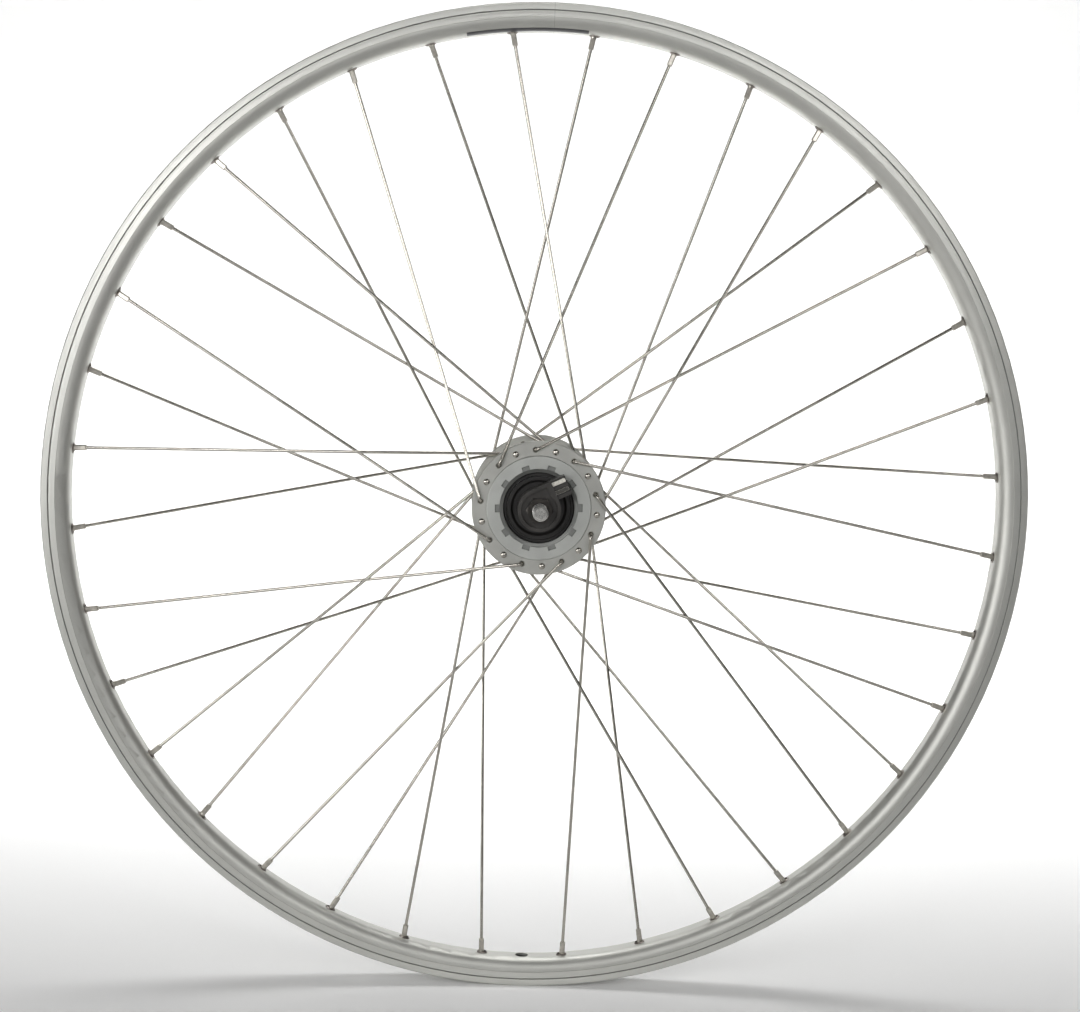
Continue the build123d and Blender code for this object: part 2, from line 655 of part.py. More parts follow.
with BuildPart() as bobbin:
    spool = CORE_RADIUS + FIT
    flange_start = COIL_HALF_WIDTH + FIT
    flange_end = flange_start + BOBBIN_FLANGE
    bobbin_edge = COIL_RADIUS + COIL_TO_CLAW / 2
    revolve(
        outline(
            (spool, -flange_end),
            (bobbin_edge, -flange_end),
            (bobbin_edge, -flange_start),
            (BOBBIN_RADIUS, -flange_start),
            (BOBBIN_RADIUS, flange_start),
            (bobbin_edge, flange_start),
            (bobbin_edge, flange_end),
            (spool, flange_end),
        ),
        axis=Axis.Y,
    )
finish(bobbin, "bobbin")

with BuildPart() as coil:
    coil_inner = BOBBIN_RADIUS + FIT
    revolve(tube(coil_inner, COIL_RADIUS, -COIL_HALF_WIDTH, COIL_HALF_WIDTH), axis=Axis.Y)
finish(coil, "coil")

pole_pitch = 360 / POLE_PAIRS
claw_reach = 2 * YOKE_INNER - YOKE_THICKNESS
claw_space = math.tan(math.radians(pole_pitch / 2)) * CLAW_INNER_RADIUS
for name, side in SIDES.items():
    with BuildPart() as yoke:
        revolve(
            tube(AXLE_MIDDLE_RADIUS + FIT, STATOR_RADIUS, YOKE_INNER, YOKE_OUTER, side),
            axis=Axis.Y,
        )
        # A claw tapers from its root on the disc to its tip near the other yoke
        first_claw = pole_pitch / 4 * side
        claw_plane = Plane(
            polar(0, 0, side * YOKE_INNER),
            x_dir=polar(1, first_claw + 90),
            z_dir=polar(1, first_claw),
        )
        inward = -side * claw_plane.y_dir.Y
        with BuildSketch(claw_plane):
            with BuildLine():
                Polyline(
                    (-claw_space * CLAW_ROOT_SHARE, 0),
                    (claw_space * CLAW_ROOT_SHARE, 0),
                    (claw_space * CLAW_TIP_SHARE, inward * claw_reach),
                    (-claw_space * CLAW_TIP_SHARE, inward * claw_reach),
                    close=True,
                )
            make_face()
        claw = extrude(amount=STATOR_RADIUS, mode=Mode.PRIVATE)
        for index in range(POLE_PAIRS):
            add(claw, rotation=(0, index * pole_pitch, 0))
        claw_bore = tube(0, CLAW_INNER_RADIUS, YOKE_INNER - claw_reach, YOKE_INNER, side)
        revolve(claw_bore, axis=Axis.Y, mode=Mode.SUBTRACT)
        envelope = tube(0, STATOR_RADIUS, YOKE_INNER - claw_reach, YOKE_OUTER, side)
        revolve(envelope, axis=Axis.Y, mode=Mode.INTERSECT)
        if side == RIGHT:
            # Slot for the lead, from the bobbin's flange to the groove in the axle
            with BuildSketch(side_plane(side, YOKE_INNER)):
                with Locations(Rotation(0, 0, lead_angle)):
                    Rectangle(BOBBIN_RADIUS + groove_width, groove_width, align=(Align.MIN, Align.CENTER))
            extrude(amount=-side * YOKE_THICKNESS, mode=Mode.SUBTRACT)
    finish(yoke, f"{name}_yoke")

# Magnets and the iron ring behind them, which turn with the shell
with BuildPart() as flux_ring:
    flux_inner = MAGNET_RADIUS + FIT
    ring_section = tube(
        flux_inner, FLUX_RING_RADIUS, -FLUX_RING_HALF_WIDTH, FLUX_RING_HALF_WIDTH
    )
    revolve(ring_section, axis=Axis.Y)
finish(flux_ring, "flux_ring")

with BuildPart() as magnets:
    magnet_section = tube(
        MAGNET_INNER_RADIUS, MAGNET_RADIUS, -MAGNET_HALF_WIDTH, MAGNET_HALF_WIDTH
    )
    magnet_span = 360 / MAGNETS - math.degrees(MAGNET_SPACING / MAGNET_INNER_RADIUS)
    magnet = revolve(magnet_section, axis=Axis.Y, revolution_arc=magnet_span, mode=Mode.PRIVATE)
    for index in range(MAGNETS):
        add(magnet, rotation=(0, index * 360 / MAGNETS, 0))
finish(magnets, "magnets")

# Connector: a moulded boss round the axle, with an arm out to a block that holds the tabs
arm_plane = Plane(polar(0, 0, -CONE_OUTER), x_dir=polar(1, ARM_ANGLE), z_dir=(0, -1, 0))
front_plane = arm_plane.offset(BOSS_FRONT - CONE_OUTER)
block_plane = arm_plane.offset(BOSS_FRONT - BLOCK_FRONT_STEP - CONE_OUTER)
block_low = block_high - BLOCK_WIDTH
tabs = {"live_terminal": live_middle, "ground_terminal": ground_middle}
with BuildPart() as connector:
    with BuildSketch(arm_plane):
        Circle(BOSS_RADIUS)
        Rectangle(BLOCK_START, BOSS_RADIUS, align=(Align.MIN, Align.MIN))
    extrude(amount=BOSS_FRONT - CONE_OUTER)
    with BuildSketch(block_plane):
        with Locations((BLOCK_START - BLOCK_WALL, block_low)):
            Rectangle(
                BLOCK_REACH - BLOCK_START + BLOCK_WALL,
                BLOCK_WIDTH,
                align=(Align.MIN, Align.MIN),
            )
    extrude(amount=-BLOCK_DEPTH)
    with BuildSketch(front_plane):
        Circle(BOSS_RADIUS - BOSS_RIM)
        Rectangle(ARM_RECESS, BOSS_RADIUS - BOSS_RIM, align=(Align.MIN, Align.MIN))
    extrude(amount=-BOSS_RECESS, mode=Mode.SUBTRACT)
    with BuildSketch(front_plane):
        Circle(AXLE_HOLE)
    extrude(amount=CONE_OUTER - BOSS_FRONT, mode=Mode.SUBTRACT)
    with BuildSketch(block_plane):
        for middle in tabs.values():
            with Locations((BLOCK_START, middle)):
                Rectangle(BLOCK_REACH, TAB_SLOT_WIDTH, align=(Align.MIN, Align.CENTER))
    extrude(amount=-TAB_SLOT_DEPTH, mode=Mode.SUBTRACT)
    with BuildSketch(Plane(polar(0, 0, -lead_end), z_dir=polar(1, lead_angle))):
        Circle(LEAD_RADIUS + FIT)
    extrude(amount=math.hypot(BLOCK_START, live_middle), mode=Mode.SUBTRACT)
finish(connector, "connector")

# Lead from the coil, along the groove in the axle and out to the live tab
with BuildPart() as lead:
    lead_start = YOKE_INNER + YOKE_THICKNESS / 2
    lead_tip = math.hypot(BLOCK_START, live_middle) - LEAD_RADIUS
    with BuildLine() as route:
        FilletPolyline(
            polar(BOBBIN_RADIUS, lead_angle, -lead_start),
            polar(lead_place, lead_angle, -lead_start),
            polar(lead_place, lead_angle, -lead_end),
            polar(lead_tip, lead_angle, -lead_end),
            radius=lead_bend,
        )
    with BuildSketch(Plane(route.line @ 0, z_dir=route.line % 0)):
        Circle(LEAD_RADIUS)
    sweep(path=route.line)
finish(lead, "lead_wire")

for label, middle in tabs.items():
    with BuildPart() as terminal:
        with BuildSketch(arm_plane.offset(tab_front - CONE_OUTER)):
            with Locations((BLOCK_START, middle)):
                tab = Rectangle(
                    BLOCK_REACH - BLOCK_START - TAB_END_GAP,
                    TAB_WIDTH,
                    align=(Align.MIN, Align.CENTER),
                )
            fillet(tab.vertices().sort_by(Axis.X)[-2:], TAB_CORNER)
        extrude(amount=-TAB_THICKNESS)
    finish(terminal, label)


# Spokes: each bends at its elbow and once more where it is woven past the spoke it crosses last
last_spread = LACING_ANGLE - 180 / SPOKES_PER_FLANGE
crossing_rise = HOLE_CIRCLE * math.sin(math.radians(last_spread))
crossing_fall = NIPPLE_PIVOT * math.sin(math.radians(LACING_ANGLE - last_spread))
crossing_share = crossing_rise / (crossing_rise + crossing_fall)

# The elbow stands off the flange so that the outer spoke clears the flange's edge on its way in
shaft = polar(NIPPLE_PIVOT, LACING_ANGLE) - polar(HOLE_CIRCLE, 0)
nearest = polar(HOLE_CIRCLE, 0).dot(shaft) / shaft.length**2
edge_share = math.sqrt(nearest**2 + (FLANGE_RADIUS**2 - HOLE_CIRCLE**2) / shaft.length**2) - nearest
flange_middle = (FLANGE_OUTER + FLANGE_INNER) / 2
woven_step = SPOKE_RADIUS + CROSSING_GAP / 2
crossing_place = (1 - crossing_share) * flange_middle
lever = edge_share / crossing_share
clear_of_edge = FLANGE_OUTER + SPOKE_RADIUS + FACE_GAP
elbow_place = (clear_of_edge - (crossing_place - woven_step) * lever) / (1 - lever)
elbow_standoff = elbow_place - FLANGE_OUTER


class Run:
    """One family of spokes: the same side, the same face of its flange and the same lean."""

    def __init__(self, name: str, first: int, side: int, outside: bool):
        """Finds the points of the family's first spoke."""
        self.name = name
        rim_angle = FIRST_RIM_HOLE + first * RIM_PITCH
        hub_angle = rim_angle + (LACING_ANGLE if outside else -LACING_ANGLE)
        away = 1 if outside else -1
        face = FLANGE_OUTER if outside else FLANGE_INNER
        head_face = FLANGE_INNER if outside else FLANGE_OUTER
        woven = crossing_place - away * woven_step
        self.hub_angle = hub_angle
        self.head = polar(HOLE_CIRCLE, hub_angle, side * head_face)
        self.head_way = Vector(0, -side * away, 0)
        self.elbow = polar(HOLE_CIRCLE, hub_angle, side * (face + away * elbow_standoff))
        self.pivot = polar(NIPPLE_PIVOT, rim_angle, side * HOLE_STAGGER)
        self.crossing = self.elbow + (self.pivot - self.elbow) * crossing_share
        self.crossing.Y = side * woven
        self.way = (self.pivot - self.crossing).normalized()
        self.lean = self.way.get_angle(polar(1, rim_angle))
        self.end = self.pivot - self.way * SPOKE_END_GAP


RUNS = [
    Run("right_outer_spokes", 0, RIGHT, True),
    Run("left_outer_spokes", 1, LEFT, True),
    Run("right_inner_spokes", 2, RIGHT, False),
    Run("left_inner_spokes", 3, LEFT, False),
]

dome_height = SPOKE_HEAD_HEIGHT - SPOKE_HEAD_EDGE
dome_radius = (SPOKE_HEAD_RADIUS**2 + dome_height**2) / (2 * dome_height)
dome_half_angle = math.asin(SPOKE_HEAD_RADIUS / dome_radius) / 2
dome_middle = (
    dome_radius * math.sin(dome_half_angle),
    SPOKE_HEAD_HEIGHT - dome_radius * (1 - math.cos(dome_half_angle)),
)
for run in RUNS:
    with BuildPart() as spoke:
        with BuildLine() as path:
            FilletPolyline(
                run.head,
                run.elbow,
                run.crossing,
                run.end,
                radius=[ELBOW_RADIUS, CROSSING_BEND_RADIUS],
            )
        with BuildSketch(Plane(run.head, z_dir=-run.head_way)):
            Circle(SPOKE_RADIUS)
        sweep(path=path.line)
        # Domed head on the other face of the flange
        outward = polar(1, run.hub_angle)
        with BuildSketch(Plane(run.head, x_dir=outward, z_dir=outward.cross(run.head_way))):
            with BuildLine():
                dome_edge = (SPOKE_HEAD_RADIUS, SPOKE_HEAD_EDGE)
                dome_top = (0, SPOKE_HEAD_HEIGHT)
                Polyline(dome_top, (0, 0), (SPOKE_HEAD_RADIUS, 0), dome_edge)
                ThreePointArc(dome_edge, dome_middle, dome_top)
            make_face()
        revolve(axis=Axis(run.head, run.head_way))
    with BuildPart() as spokes:
        for index in range(SPOKES_PER_RUN):
            add(spoke.part, rotation=(0, index * RUN_PITCH, 0))
    finish(spokes, run.name)

# Eyelets: swaged in the rim's inner bridge, with a conical flange towards the hub.
# The mouth is wide enough for the nipple that leans most.
with BuildPart() as eyelet:
    flange_edge = EYELET_RADIUS + EYELET_FLANGE
    flange_foot = -FIT - EYELET_FLANGE_THICKNESS
    nipple_lean = math.radians(max(run.lean for run in RUNS))
    nipple_reach = NIPPLE_PIVOT - BED_RADIUS - flange_foot
    nipple_side = NIPPLE_RADIUS / math.cos(nipple_lean) + nipple_reach * math.tan(nipple_lean)
    eyelet_mouth = nipple_side + EYELET_MOUTH_GAP
    with BuildSketch(Plane.XZ):
        with BuildLine():
            Polyline(
                (eyelet_mouth, flange_foot),
                (eyelet_mouth + EYELET_LIP, flange_foot),
                (flange_edge, -FIT - EYELET_FLANGE_EDGE),
                (flange_edge, -FIT),
                (EYELET_RADIUS, -FIT),
                (EYELET_RADIUS, BED + FIT),
                (EYELET_RADIUS + EYELET_CURL, BED + FIT),
                (EYELET_BORE, BED + FIT + EYELET_CURL),
                close=True,
            )
        make_face()
    revolve(axis=Axis.Z)
with BuildPart() as eyelets:
    with Locations(*[radial_plane(BED_RADIUS, angle, y) for angle, y in rim_holes]):
        add(eyelet.part)
finish(eyelets, "eyelets")

# Nipples: a ball-shaped head inside the rim, a round collar and a square for the spoke key
with BuildPart() as nipple:
    nipple_end = NIPPLE_HEAD_TOP - NIPPLE_LENGTH
    head_edge = math.sqrt(NIPPLE_HEAD_RADIUS**2 - NIPPLE_HEAD_TOP**2)
    head_foot = -math.sqrt(NIPPLE_HEAD_RADIUS**2 - NIPPLE_RADIUS**2)
    nipple_bore = SPOKE_RADIUS + NIPPLE_BORE_GAP
    with BuildSketch(Plane.XZ):
        with BuildLine():
            Polyline(
                (NIPPLE_RADIUS, head_foot),
                (NIPPLE_RADIUS, nipple_end + NIPPLE_TIP),
                (NIPPLE_RADIUS - NIPPLE_TIP, nipple_end),
                (nipple_bore, nipple_end),
                (nipple_bore, NIPPLE_HEAD_TOP),
                (head_edge, NIPPLE_HEAD_TOP),
            )
            ThreePointArc(
                (head_edge, NIPPLE_HEAD_TOP), (NIPPLE_HEAD_RADIUS, 0), (NIPPLE_RADIUS, head_foot)
            )
        make_face()
    revolve(axis=Axis.Z)
    with BuildSketch(Plane.XY.offset(-NIPPLE_COLLAR)):
        Circle(NIPPLE_HEAD_RADIUS)
        Rectangle(NIPPLE_FLATS, NIPPLE_FLATS, mode=Mode.SUBTRACT)
    extrude(amount=nipple_end + NIPPLE_COLLAR, mode=Mode.SUBTRACT)
with BuildPart() as nipples:
    for run in RUNS:
        with Locations(Plane(run.pivot, x_dir=(0, 1, 0), z_dir=run.way)):
            seated = add(nipple.part, mode=Mode.PRIVATE)
        for index in range(SPOKES_PER_RUN):
            add(seated, rotation=(0, index * RUN_PITCH, 0))
finish(nipples, "nipples")
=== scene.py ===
"""Looks of a front bicycle wheel with a hub dynamo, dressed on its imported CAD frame.

Sizes are in metres. The wheel turns about Y, its connector side faces -Y, and Z is up.
"""

import logging
import math
from collections.abc import Iterator, Sequence
from contextlib import contextmanager
from dataclasses import dataclass
from enum import Enum
from typing import Any

import bpy
from mathutils import Matrix, Vector


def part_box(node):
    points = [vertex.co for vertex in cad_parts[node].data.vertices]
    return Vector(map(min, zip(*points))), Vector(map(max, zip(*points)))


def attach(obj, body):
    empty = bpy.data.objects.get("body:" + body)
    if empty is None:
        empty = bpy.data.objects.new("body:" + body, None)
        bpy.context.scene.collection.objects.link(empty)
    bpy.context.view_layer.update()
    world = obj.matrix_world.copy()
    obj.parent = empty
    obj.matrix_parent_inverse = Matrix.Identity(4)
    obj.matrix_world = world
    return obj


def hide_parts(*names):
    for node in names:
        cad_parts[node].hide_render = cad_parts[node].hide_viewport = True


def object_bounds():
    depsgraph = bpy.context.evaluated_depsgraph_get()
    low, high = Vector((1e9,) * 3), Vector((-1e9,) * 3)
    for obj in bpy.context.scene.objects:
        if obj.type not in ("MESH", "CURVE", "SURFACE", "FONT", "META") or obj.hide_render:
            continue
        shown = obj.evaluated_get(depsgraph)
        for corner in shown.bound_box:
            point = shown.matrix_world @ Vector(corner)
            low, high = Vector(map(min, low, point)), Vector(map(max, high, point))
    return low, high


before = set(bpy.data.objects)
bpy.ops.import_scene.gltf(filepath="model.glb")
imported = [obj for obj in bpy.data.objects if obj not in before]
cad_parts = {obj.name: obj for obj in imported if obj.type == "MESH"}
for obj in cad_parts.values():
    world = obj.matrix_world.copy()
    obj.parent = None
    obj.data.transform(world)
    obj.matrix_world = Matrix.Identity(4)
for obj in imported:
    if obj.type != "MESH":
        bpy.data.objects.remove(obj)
CAD_BOX: list[list[float]] = [list(corner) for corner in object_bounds()]

Colour = tuple[float, float, float]
Point = tuple[float, float, float]
Span = tuple[float, float]

MM = 0.001
ORIGIN: Point = (0.0, 0.0, 0.0)
AXLE_LINE: Point = (0.0, 1.0, 0.0)
BLACK: Colour = (0.0, 0.0, 0.0)
WELD = 0.001 * MM  # points nearer than this become one
SNAP = 0.0001 * MM  # the same for points on a cut or at a turned seam
BEVEL_SAMPLES = 6
CORNER_SAMPLES = 8
SHARP_EDGE = 0.16  # 1 less the cosine of the turn at which an edge counts as fully worn
MARK_CORE = 0.4  # the share of a thin mark's half width that is fully dark
WAVE_RATE = 20.0  # what Blender's wave texture multiplies a place by
log = logging.getLogger("wheel")


class Body(Enum):
    """The CAD bodies that a piece can ride on."""

    AXLE = "axle_assembly"
    WHEEL = "wheel"


class Side(Enum):
    """The two ends of the axle, by their direction along Y."""

    RIGHT = -1
    LEFT = 1

    @property
    def label(self) -> str:
        """Returns the side's name as the pieces have it."""
        return self.name.lower()


class Detail(Enum):
    """How many finer layers a noise has."""

    LOW = 2.0
    MIDDLE = 3.0
    HIGH = 4.0


class Join(Enum):
    """How two pieces become one."""

    BOTH = "UNION"
    SHARED = "INTERSECT"


class Field:
    """A node socket whose value varies over a surface. Arithmetic on it adds Math nodes."""

    def __init__(self, recipe: "Recipe", socket: bpy.types.NodeSocket) -> None:
        """Keeps the socket and the recipe that it belongs to."""
        self.recipe = recipe
        self.socket = socket

    def output(self, name: int | str) -> "Field":
        """Returns another output of the same node."""
        return Field(self.recipe, self.socket.node.outputs[name])

    def _math(self, operation: str, *values: "Field | float") -> "Field":
        """Adds a Math node.

        Args:
            operation: Blender's name for the operation.
            values: what goes into the node's sockets, in order.

        Returns:
            The node's result.
        """
        inputs = dict(enumerate(values))
        return self.recipe.node("ShaderNodeMath", {"operation": operation}, inputs)

    def __add__(self, other: "Field | float") -> "Field":
        """Returns the sum."""
        return self._math("ADD", self, other)

    __radd__ = __add__

    def __sub__(self, other: "Field | float") -> "Field":
        """Returns this less the other."""
        return self._math("SUBTRACT", self, other)

    def __rsub__(self, other: "Field | float") -> "Field":
        """Returns the other less this."""
        return self._math("SUBTRACT", other, self)

    def __mul__(self, other: "Field | float") -> "Field":
        """Returns the product."""
        return self._math("MULTIPLY", self, other)

    __rmul__ = __mul__

    def __pow__(self, power: "Field | float") -> "Field":
        """Returns this to a power."""
        return self._math("POWER", self, power)

    def __abs__(self) -> "Field":
        """Returns the size of the value without its sign."""
        return self._math("ABSOLUTE", self)

    def larger(self, other: "Field | float") -> "Field":
        """Returns the larger of the two values."""
        return self._math("MAXIMUM", self, other)

    def step(self, start: float, end: float) -> "Field":
        """Rises smoothly from 0 at one value to 1 at another.

        Args:
            start: where the result is 0.
            end: where the result is 1; it may be below start.

        Returns:
            The smooth step.
        """
        return self.recipe.node(
            "ShaderNodeMapRange",
            {"interpolation_type": "SMOOTHSTEP"},
            {"Value": self, "From Min": start, "From Max": end},
        )

    def near(self, width: float) -> "Field":
        """Returns 1 where the value is near 0, fading to 0 at a width to either side."""
        return abs(self).step(width, width * MARK_CORE)


class Recipe:
    """The nodes of one material, with the few patterns that the finishes share."""

    def __init__(self, name: str) -> None:
        """Starts an empty node tree.

        Args:
            name: the material's name.
        """
        self.material = bpy.data.materials.new(name)
        self.material.use_nodes = True
        self.tree = self.material.node_tree
        self.tree.nodes.clear()
        self.place = self.node("ShaderNodeTexCoord", output="Object")
        parts = self.node("ShaderNodeSeparateXYZ", inputs={0: self.place})
        self.x, self.y, self.z = (parts.output(axis) for axis in "XYZ")

    def node(
        self,
        kind: str,
        settings: dict[str, Any] | None = None,
        inputs: dict[int | str, Any] | None = None,
        output: int | str = 0,
    ) -> Field:
        """Adds any node.

        Args:
            kind: the node's type.
            settings: its own properties, set first.
            inputs: a value or a Field for each socket named or numbered.
            output: the output to return.

        Returns:
            That output, or the first input of a node that has no outputs.
        """
        node = self.tree.nodes.new(kind)
        for name, value in (settings or {}).items():
            setattr(node, name, value)
        for name, value in (inputs or {}).items():
            if isinstance(value, Field):
                self.tree.links.new(value.socket, node.inputs[name])
            else:
                node.inputs[name].default_value = value
        return Field(self, node.outputs[output] if node.outputs else node.inputs[0])

    def radius(self) -> Field:
        """Returns the distance from the wheel's axis."""
        return (self.x * self.x + self.z * self.z) ** 0.5

    def noise(self, size: float, detail: Detail) -> Field:
        """Adds a noise over the piece.

        Args:
            size: the size of its largest lumps.
            detail: how many finer layers it has.

        Returns:
            Values about 0.5.
        """
        inputs = {"Vector": self.place, "Scale": 1.0 / size, "Detail": detail.value}
        return self.node("ShaderNodeTexNoise", inputs=inputs)

    def lines(self, across: Field, pitch: float, detail: Detail) -> Field:
        """Adds a noise that changes in one direction only, as tool marks do.

        Args:
            across: the distance across the lines.
            pitch: their usual width.
            detail: how many finer layers they have.

        Returns:
            Values about 0.5.
        """
        inputs = {"W": across, "Scale": 1.0 / pitch, "Detail": detail.value}
        return self.node("ShaderNodeTexNoise", {"noise_dimensions": "1D"}, inputs)

    def mix(self, factor: Field, first: Field | Colour, second: Field | Colour) -> Field:
        """Mixes two colours.

        Args:
            factor: how much of the second to take.
            first: a colour or a Field.
            second: a colour or a Field.

        Returns:
            The mixed colour.
        """
        first, second = (
            colour if isinstance(colour, Field) else (*colour, 1.0) for colour in (first, second)
        )
        settings = {"data_type": "RGBA", "clamp_factor": True}
        return self.node("ShaderNodeMix", settings, {0: factor, 6: first, 7: second}, output=2)

    def rounded(self, radius: float) -> Field:
        """Returns the surface's direction with its sharp edges rounded to a radius."""
        return self.node("ShaderNodeBevel", {"samples": BEVEL_SAMPLES}, {"Radius": radius})

    def edge(self, radius: float) -> Field:
        """Finds the edges of a piece.

        Args:
            radius: how far from an edge the mask reaches.

        Returns:
            0 on flat faces, rising towards 1 at sharp edges.
        """
        directions = {
            0: self.rounded(radius),
            1: self.node("ShaderNodeNewGeometry", output="Normal"),
        }
        settings = {"operation": "DOT_PRODUCT"}
        along = self.node("ShaderNodeVectorMath", settings, directions, output="Value")
        return (1.0 - along).step(0.0, SHARP_EDGE)

    def corner(self, reach: float) -> Field:
        """Finds where a piece is walled in by itself.

        Args:
            reach: how far off a wall still counts.

        Returns:
            0 in the open, rising towards 1 in a corner.
        """
        # ambient occlusion, which the turned alloy finish turns into painted shade and grime
        settings = {"samples": CORNER_SAMPLES, "only_local": True}
        inputs = {"Distance": reach}
        return 1.0 - self.node("ShaderNodeAmbientOcclusion", settings, inputs, output="AO")

    def bump(
        self, height: Field, depth: float, strength: float = 1.0, normal: Field | None = None
    ) -> Field:
        """Turns a height into a surface direction.

        Args:
            height: the height, 0 to 1.
            depth: what a height of 1 stands for.
            strength: how much of the bump shows.
            normal: the direction to add it to.

        Returns:
            The direction.
        """
        inputs: dict[int | str, Any] = {
            "Height": height,
            "Distance": depth,
            "Strength": strength,
        }
        if normal is not None:
            inputs["Normal"] = normal
        return self.node("ShaderNodeBump", inputs=inputs)

    def surface(self, **inputs: Any) -> bpy.types.Material:
        """Ends the recipe with a surface shader.

        Args:
            inputs: the shader's sockets, with underscores for spaces.

        Returns:
            The finished material.
        """
        named = {name.replace("_", " "): value for name, value in inputs.items()}
        shader = self.node("ShaderNodeBsdfPrincipled", inputs=named)
        self.node("ShaderNodeOutputMaterial", inputs={"Surface": shader})
        return self.material


@dataclass(frozen=True)
class Finish:
    """What every finish has: its name, its main colour and how rough it is."""

    name: str
    colour: Colour
    roughness: float

    def material(self) -> bpy.types.Material:
        """Returns the finish as a material."""
        raise NotImplementedError

    def shade(self, factor: float) -> Colour:
        """Returns the main colour, darker or lighter by a factor."""
        return tuple(min(1.0, part * factor) for part in self.colour)

    def clouded(self, clouds: Field, rise: Span, shades: Span) -> Field:
        """Colours a surface darker and lighter in clouds.

        Args:
            clouds: the noise to follow.
            rise: the values of the noise between which the colour changes.
            shades: the factors of the darker and of the lighter colour.

        Returns:
            The colour.
        """
        darker, lighter = (self.shade(factor) for factor in shades)
        return clouds.recipe.mix(clouds.step(*rise), darker, lighter)

    def tinted(self, tone: Field, mask: Field, amount: float, factor: float) -> Field:
        """Mixes a darker or lighter shade of the main colour into a tone.

        Args:
            tone: the colour so far.
            mask: where the shade shows.
            amount: how much of it shows there.
            factor: how light it is against the main colour.

        Returns:
            The new colour.
        """
        return tone.recipe.mix(mask * amount, tone, self.shade(factor))

    def uneven(self, *parts: tuple[Field, float]) -> Field:
        """Varies the roughness.

        Args:
            parts: noises, each with how much of it to add about its middle.

        Returns:
            The roughness.
        """
        return sum(((noise - 0.5) * amount for noise, amount in parts), start=self.roughness)


@dataclass(frozen=True)
class RimAlloy(Finish):
    """Anodised aluminium of the rim: turned brake tracks, a satin face and a joint at the top."""

    track_level: float
    groove: float
    groove_width: float = 0.5 * MM
    groove_level: float = 10 * MM
    track_edge: float = 0.1 * MM
    track_pitch: float = 0.32 * MM
    track_depth: float = 0.09 * MM
    track_gloss: float = 0.17
    ring_rough: float = 0.1
    drawn_pitch: float = 1.1 * MM
    drawn_depth: float = 0.03 * MM
    drawn_slope: float = 1.7
    drawn_share: float = 0.6
    grain: float = 0.25 * MM
    grain_rough: float = 0.05
    cloud: float = 30 * MM
    cloud_rough: float = 0.06
    joint_width: float = 0.12 * MM
    joint_start: float = 10 * MM
    bare: float = 1.2

    def material(self) -> bpy.types.Material:
        """Draws rings on the tracks, finer drawn lines below them and a hairline joint.

        Returns:
            The material.
        """
        recipe = Recipe(self.name)
        radius, level = recipe.radius(), abs(recipe.y)
        track = level.step(self.track_level - self.track_edge, self.track_level)
        rings = recipe.lines(radius, self.track_pitch, Detail.LOW)
        drawn = recipe.lines(radius + level * self.drawn_slope, self.drawn_pitch, Detail.LOW)
        grain = recipe.noise(self.grain, Detail.LOW)
        clouds = recipe.noise(self.cloud, Detail.HIGH)
        joint = recipe.x.near(self.joint_width) * recipe.z.step(0.0, self.joint_start)
        outside = level.step(self.groove_level, self.groove_level + MM)
        groove = (radius - self.groove).near(self.groove_width) * outside
        tone = self.clouded(clouds, rise=(0.3, 0.7), shades=(0.96, 1.03))
        tone = recipe.mix(track, tone, self.shade(self.bare))
        tone = self.tinted(tone, track * rings.step(0.35, 0.75), amount=0.15, factor=0.8)
        colour = self.tinted(tone, joint.larger(groove), amount=0.6, factor=0.25)
        rough = self.roughness + self.cloud_rough * clouds + self.grain_rough * grain
        rough = track * (rings * self.ring_rough - self.track_gloss) + rough
        skin = grain * (1.0 - self.drawn_share) + drawn * self.drawn_share
        fine = recipe.bump(skin, self.drawn_depth, strength=0.35)
        turned = recipe.bump(rings * track, self.track_depth, normal=fine)
        return recipe.surface(Base_Color=colour, Metallic=1.0, Roughness=rough, Normal=turned)


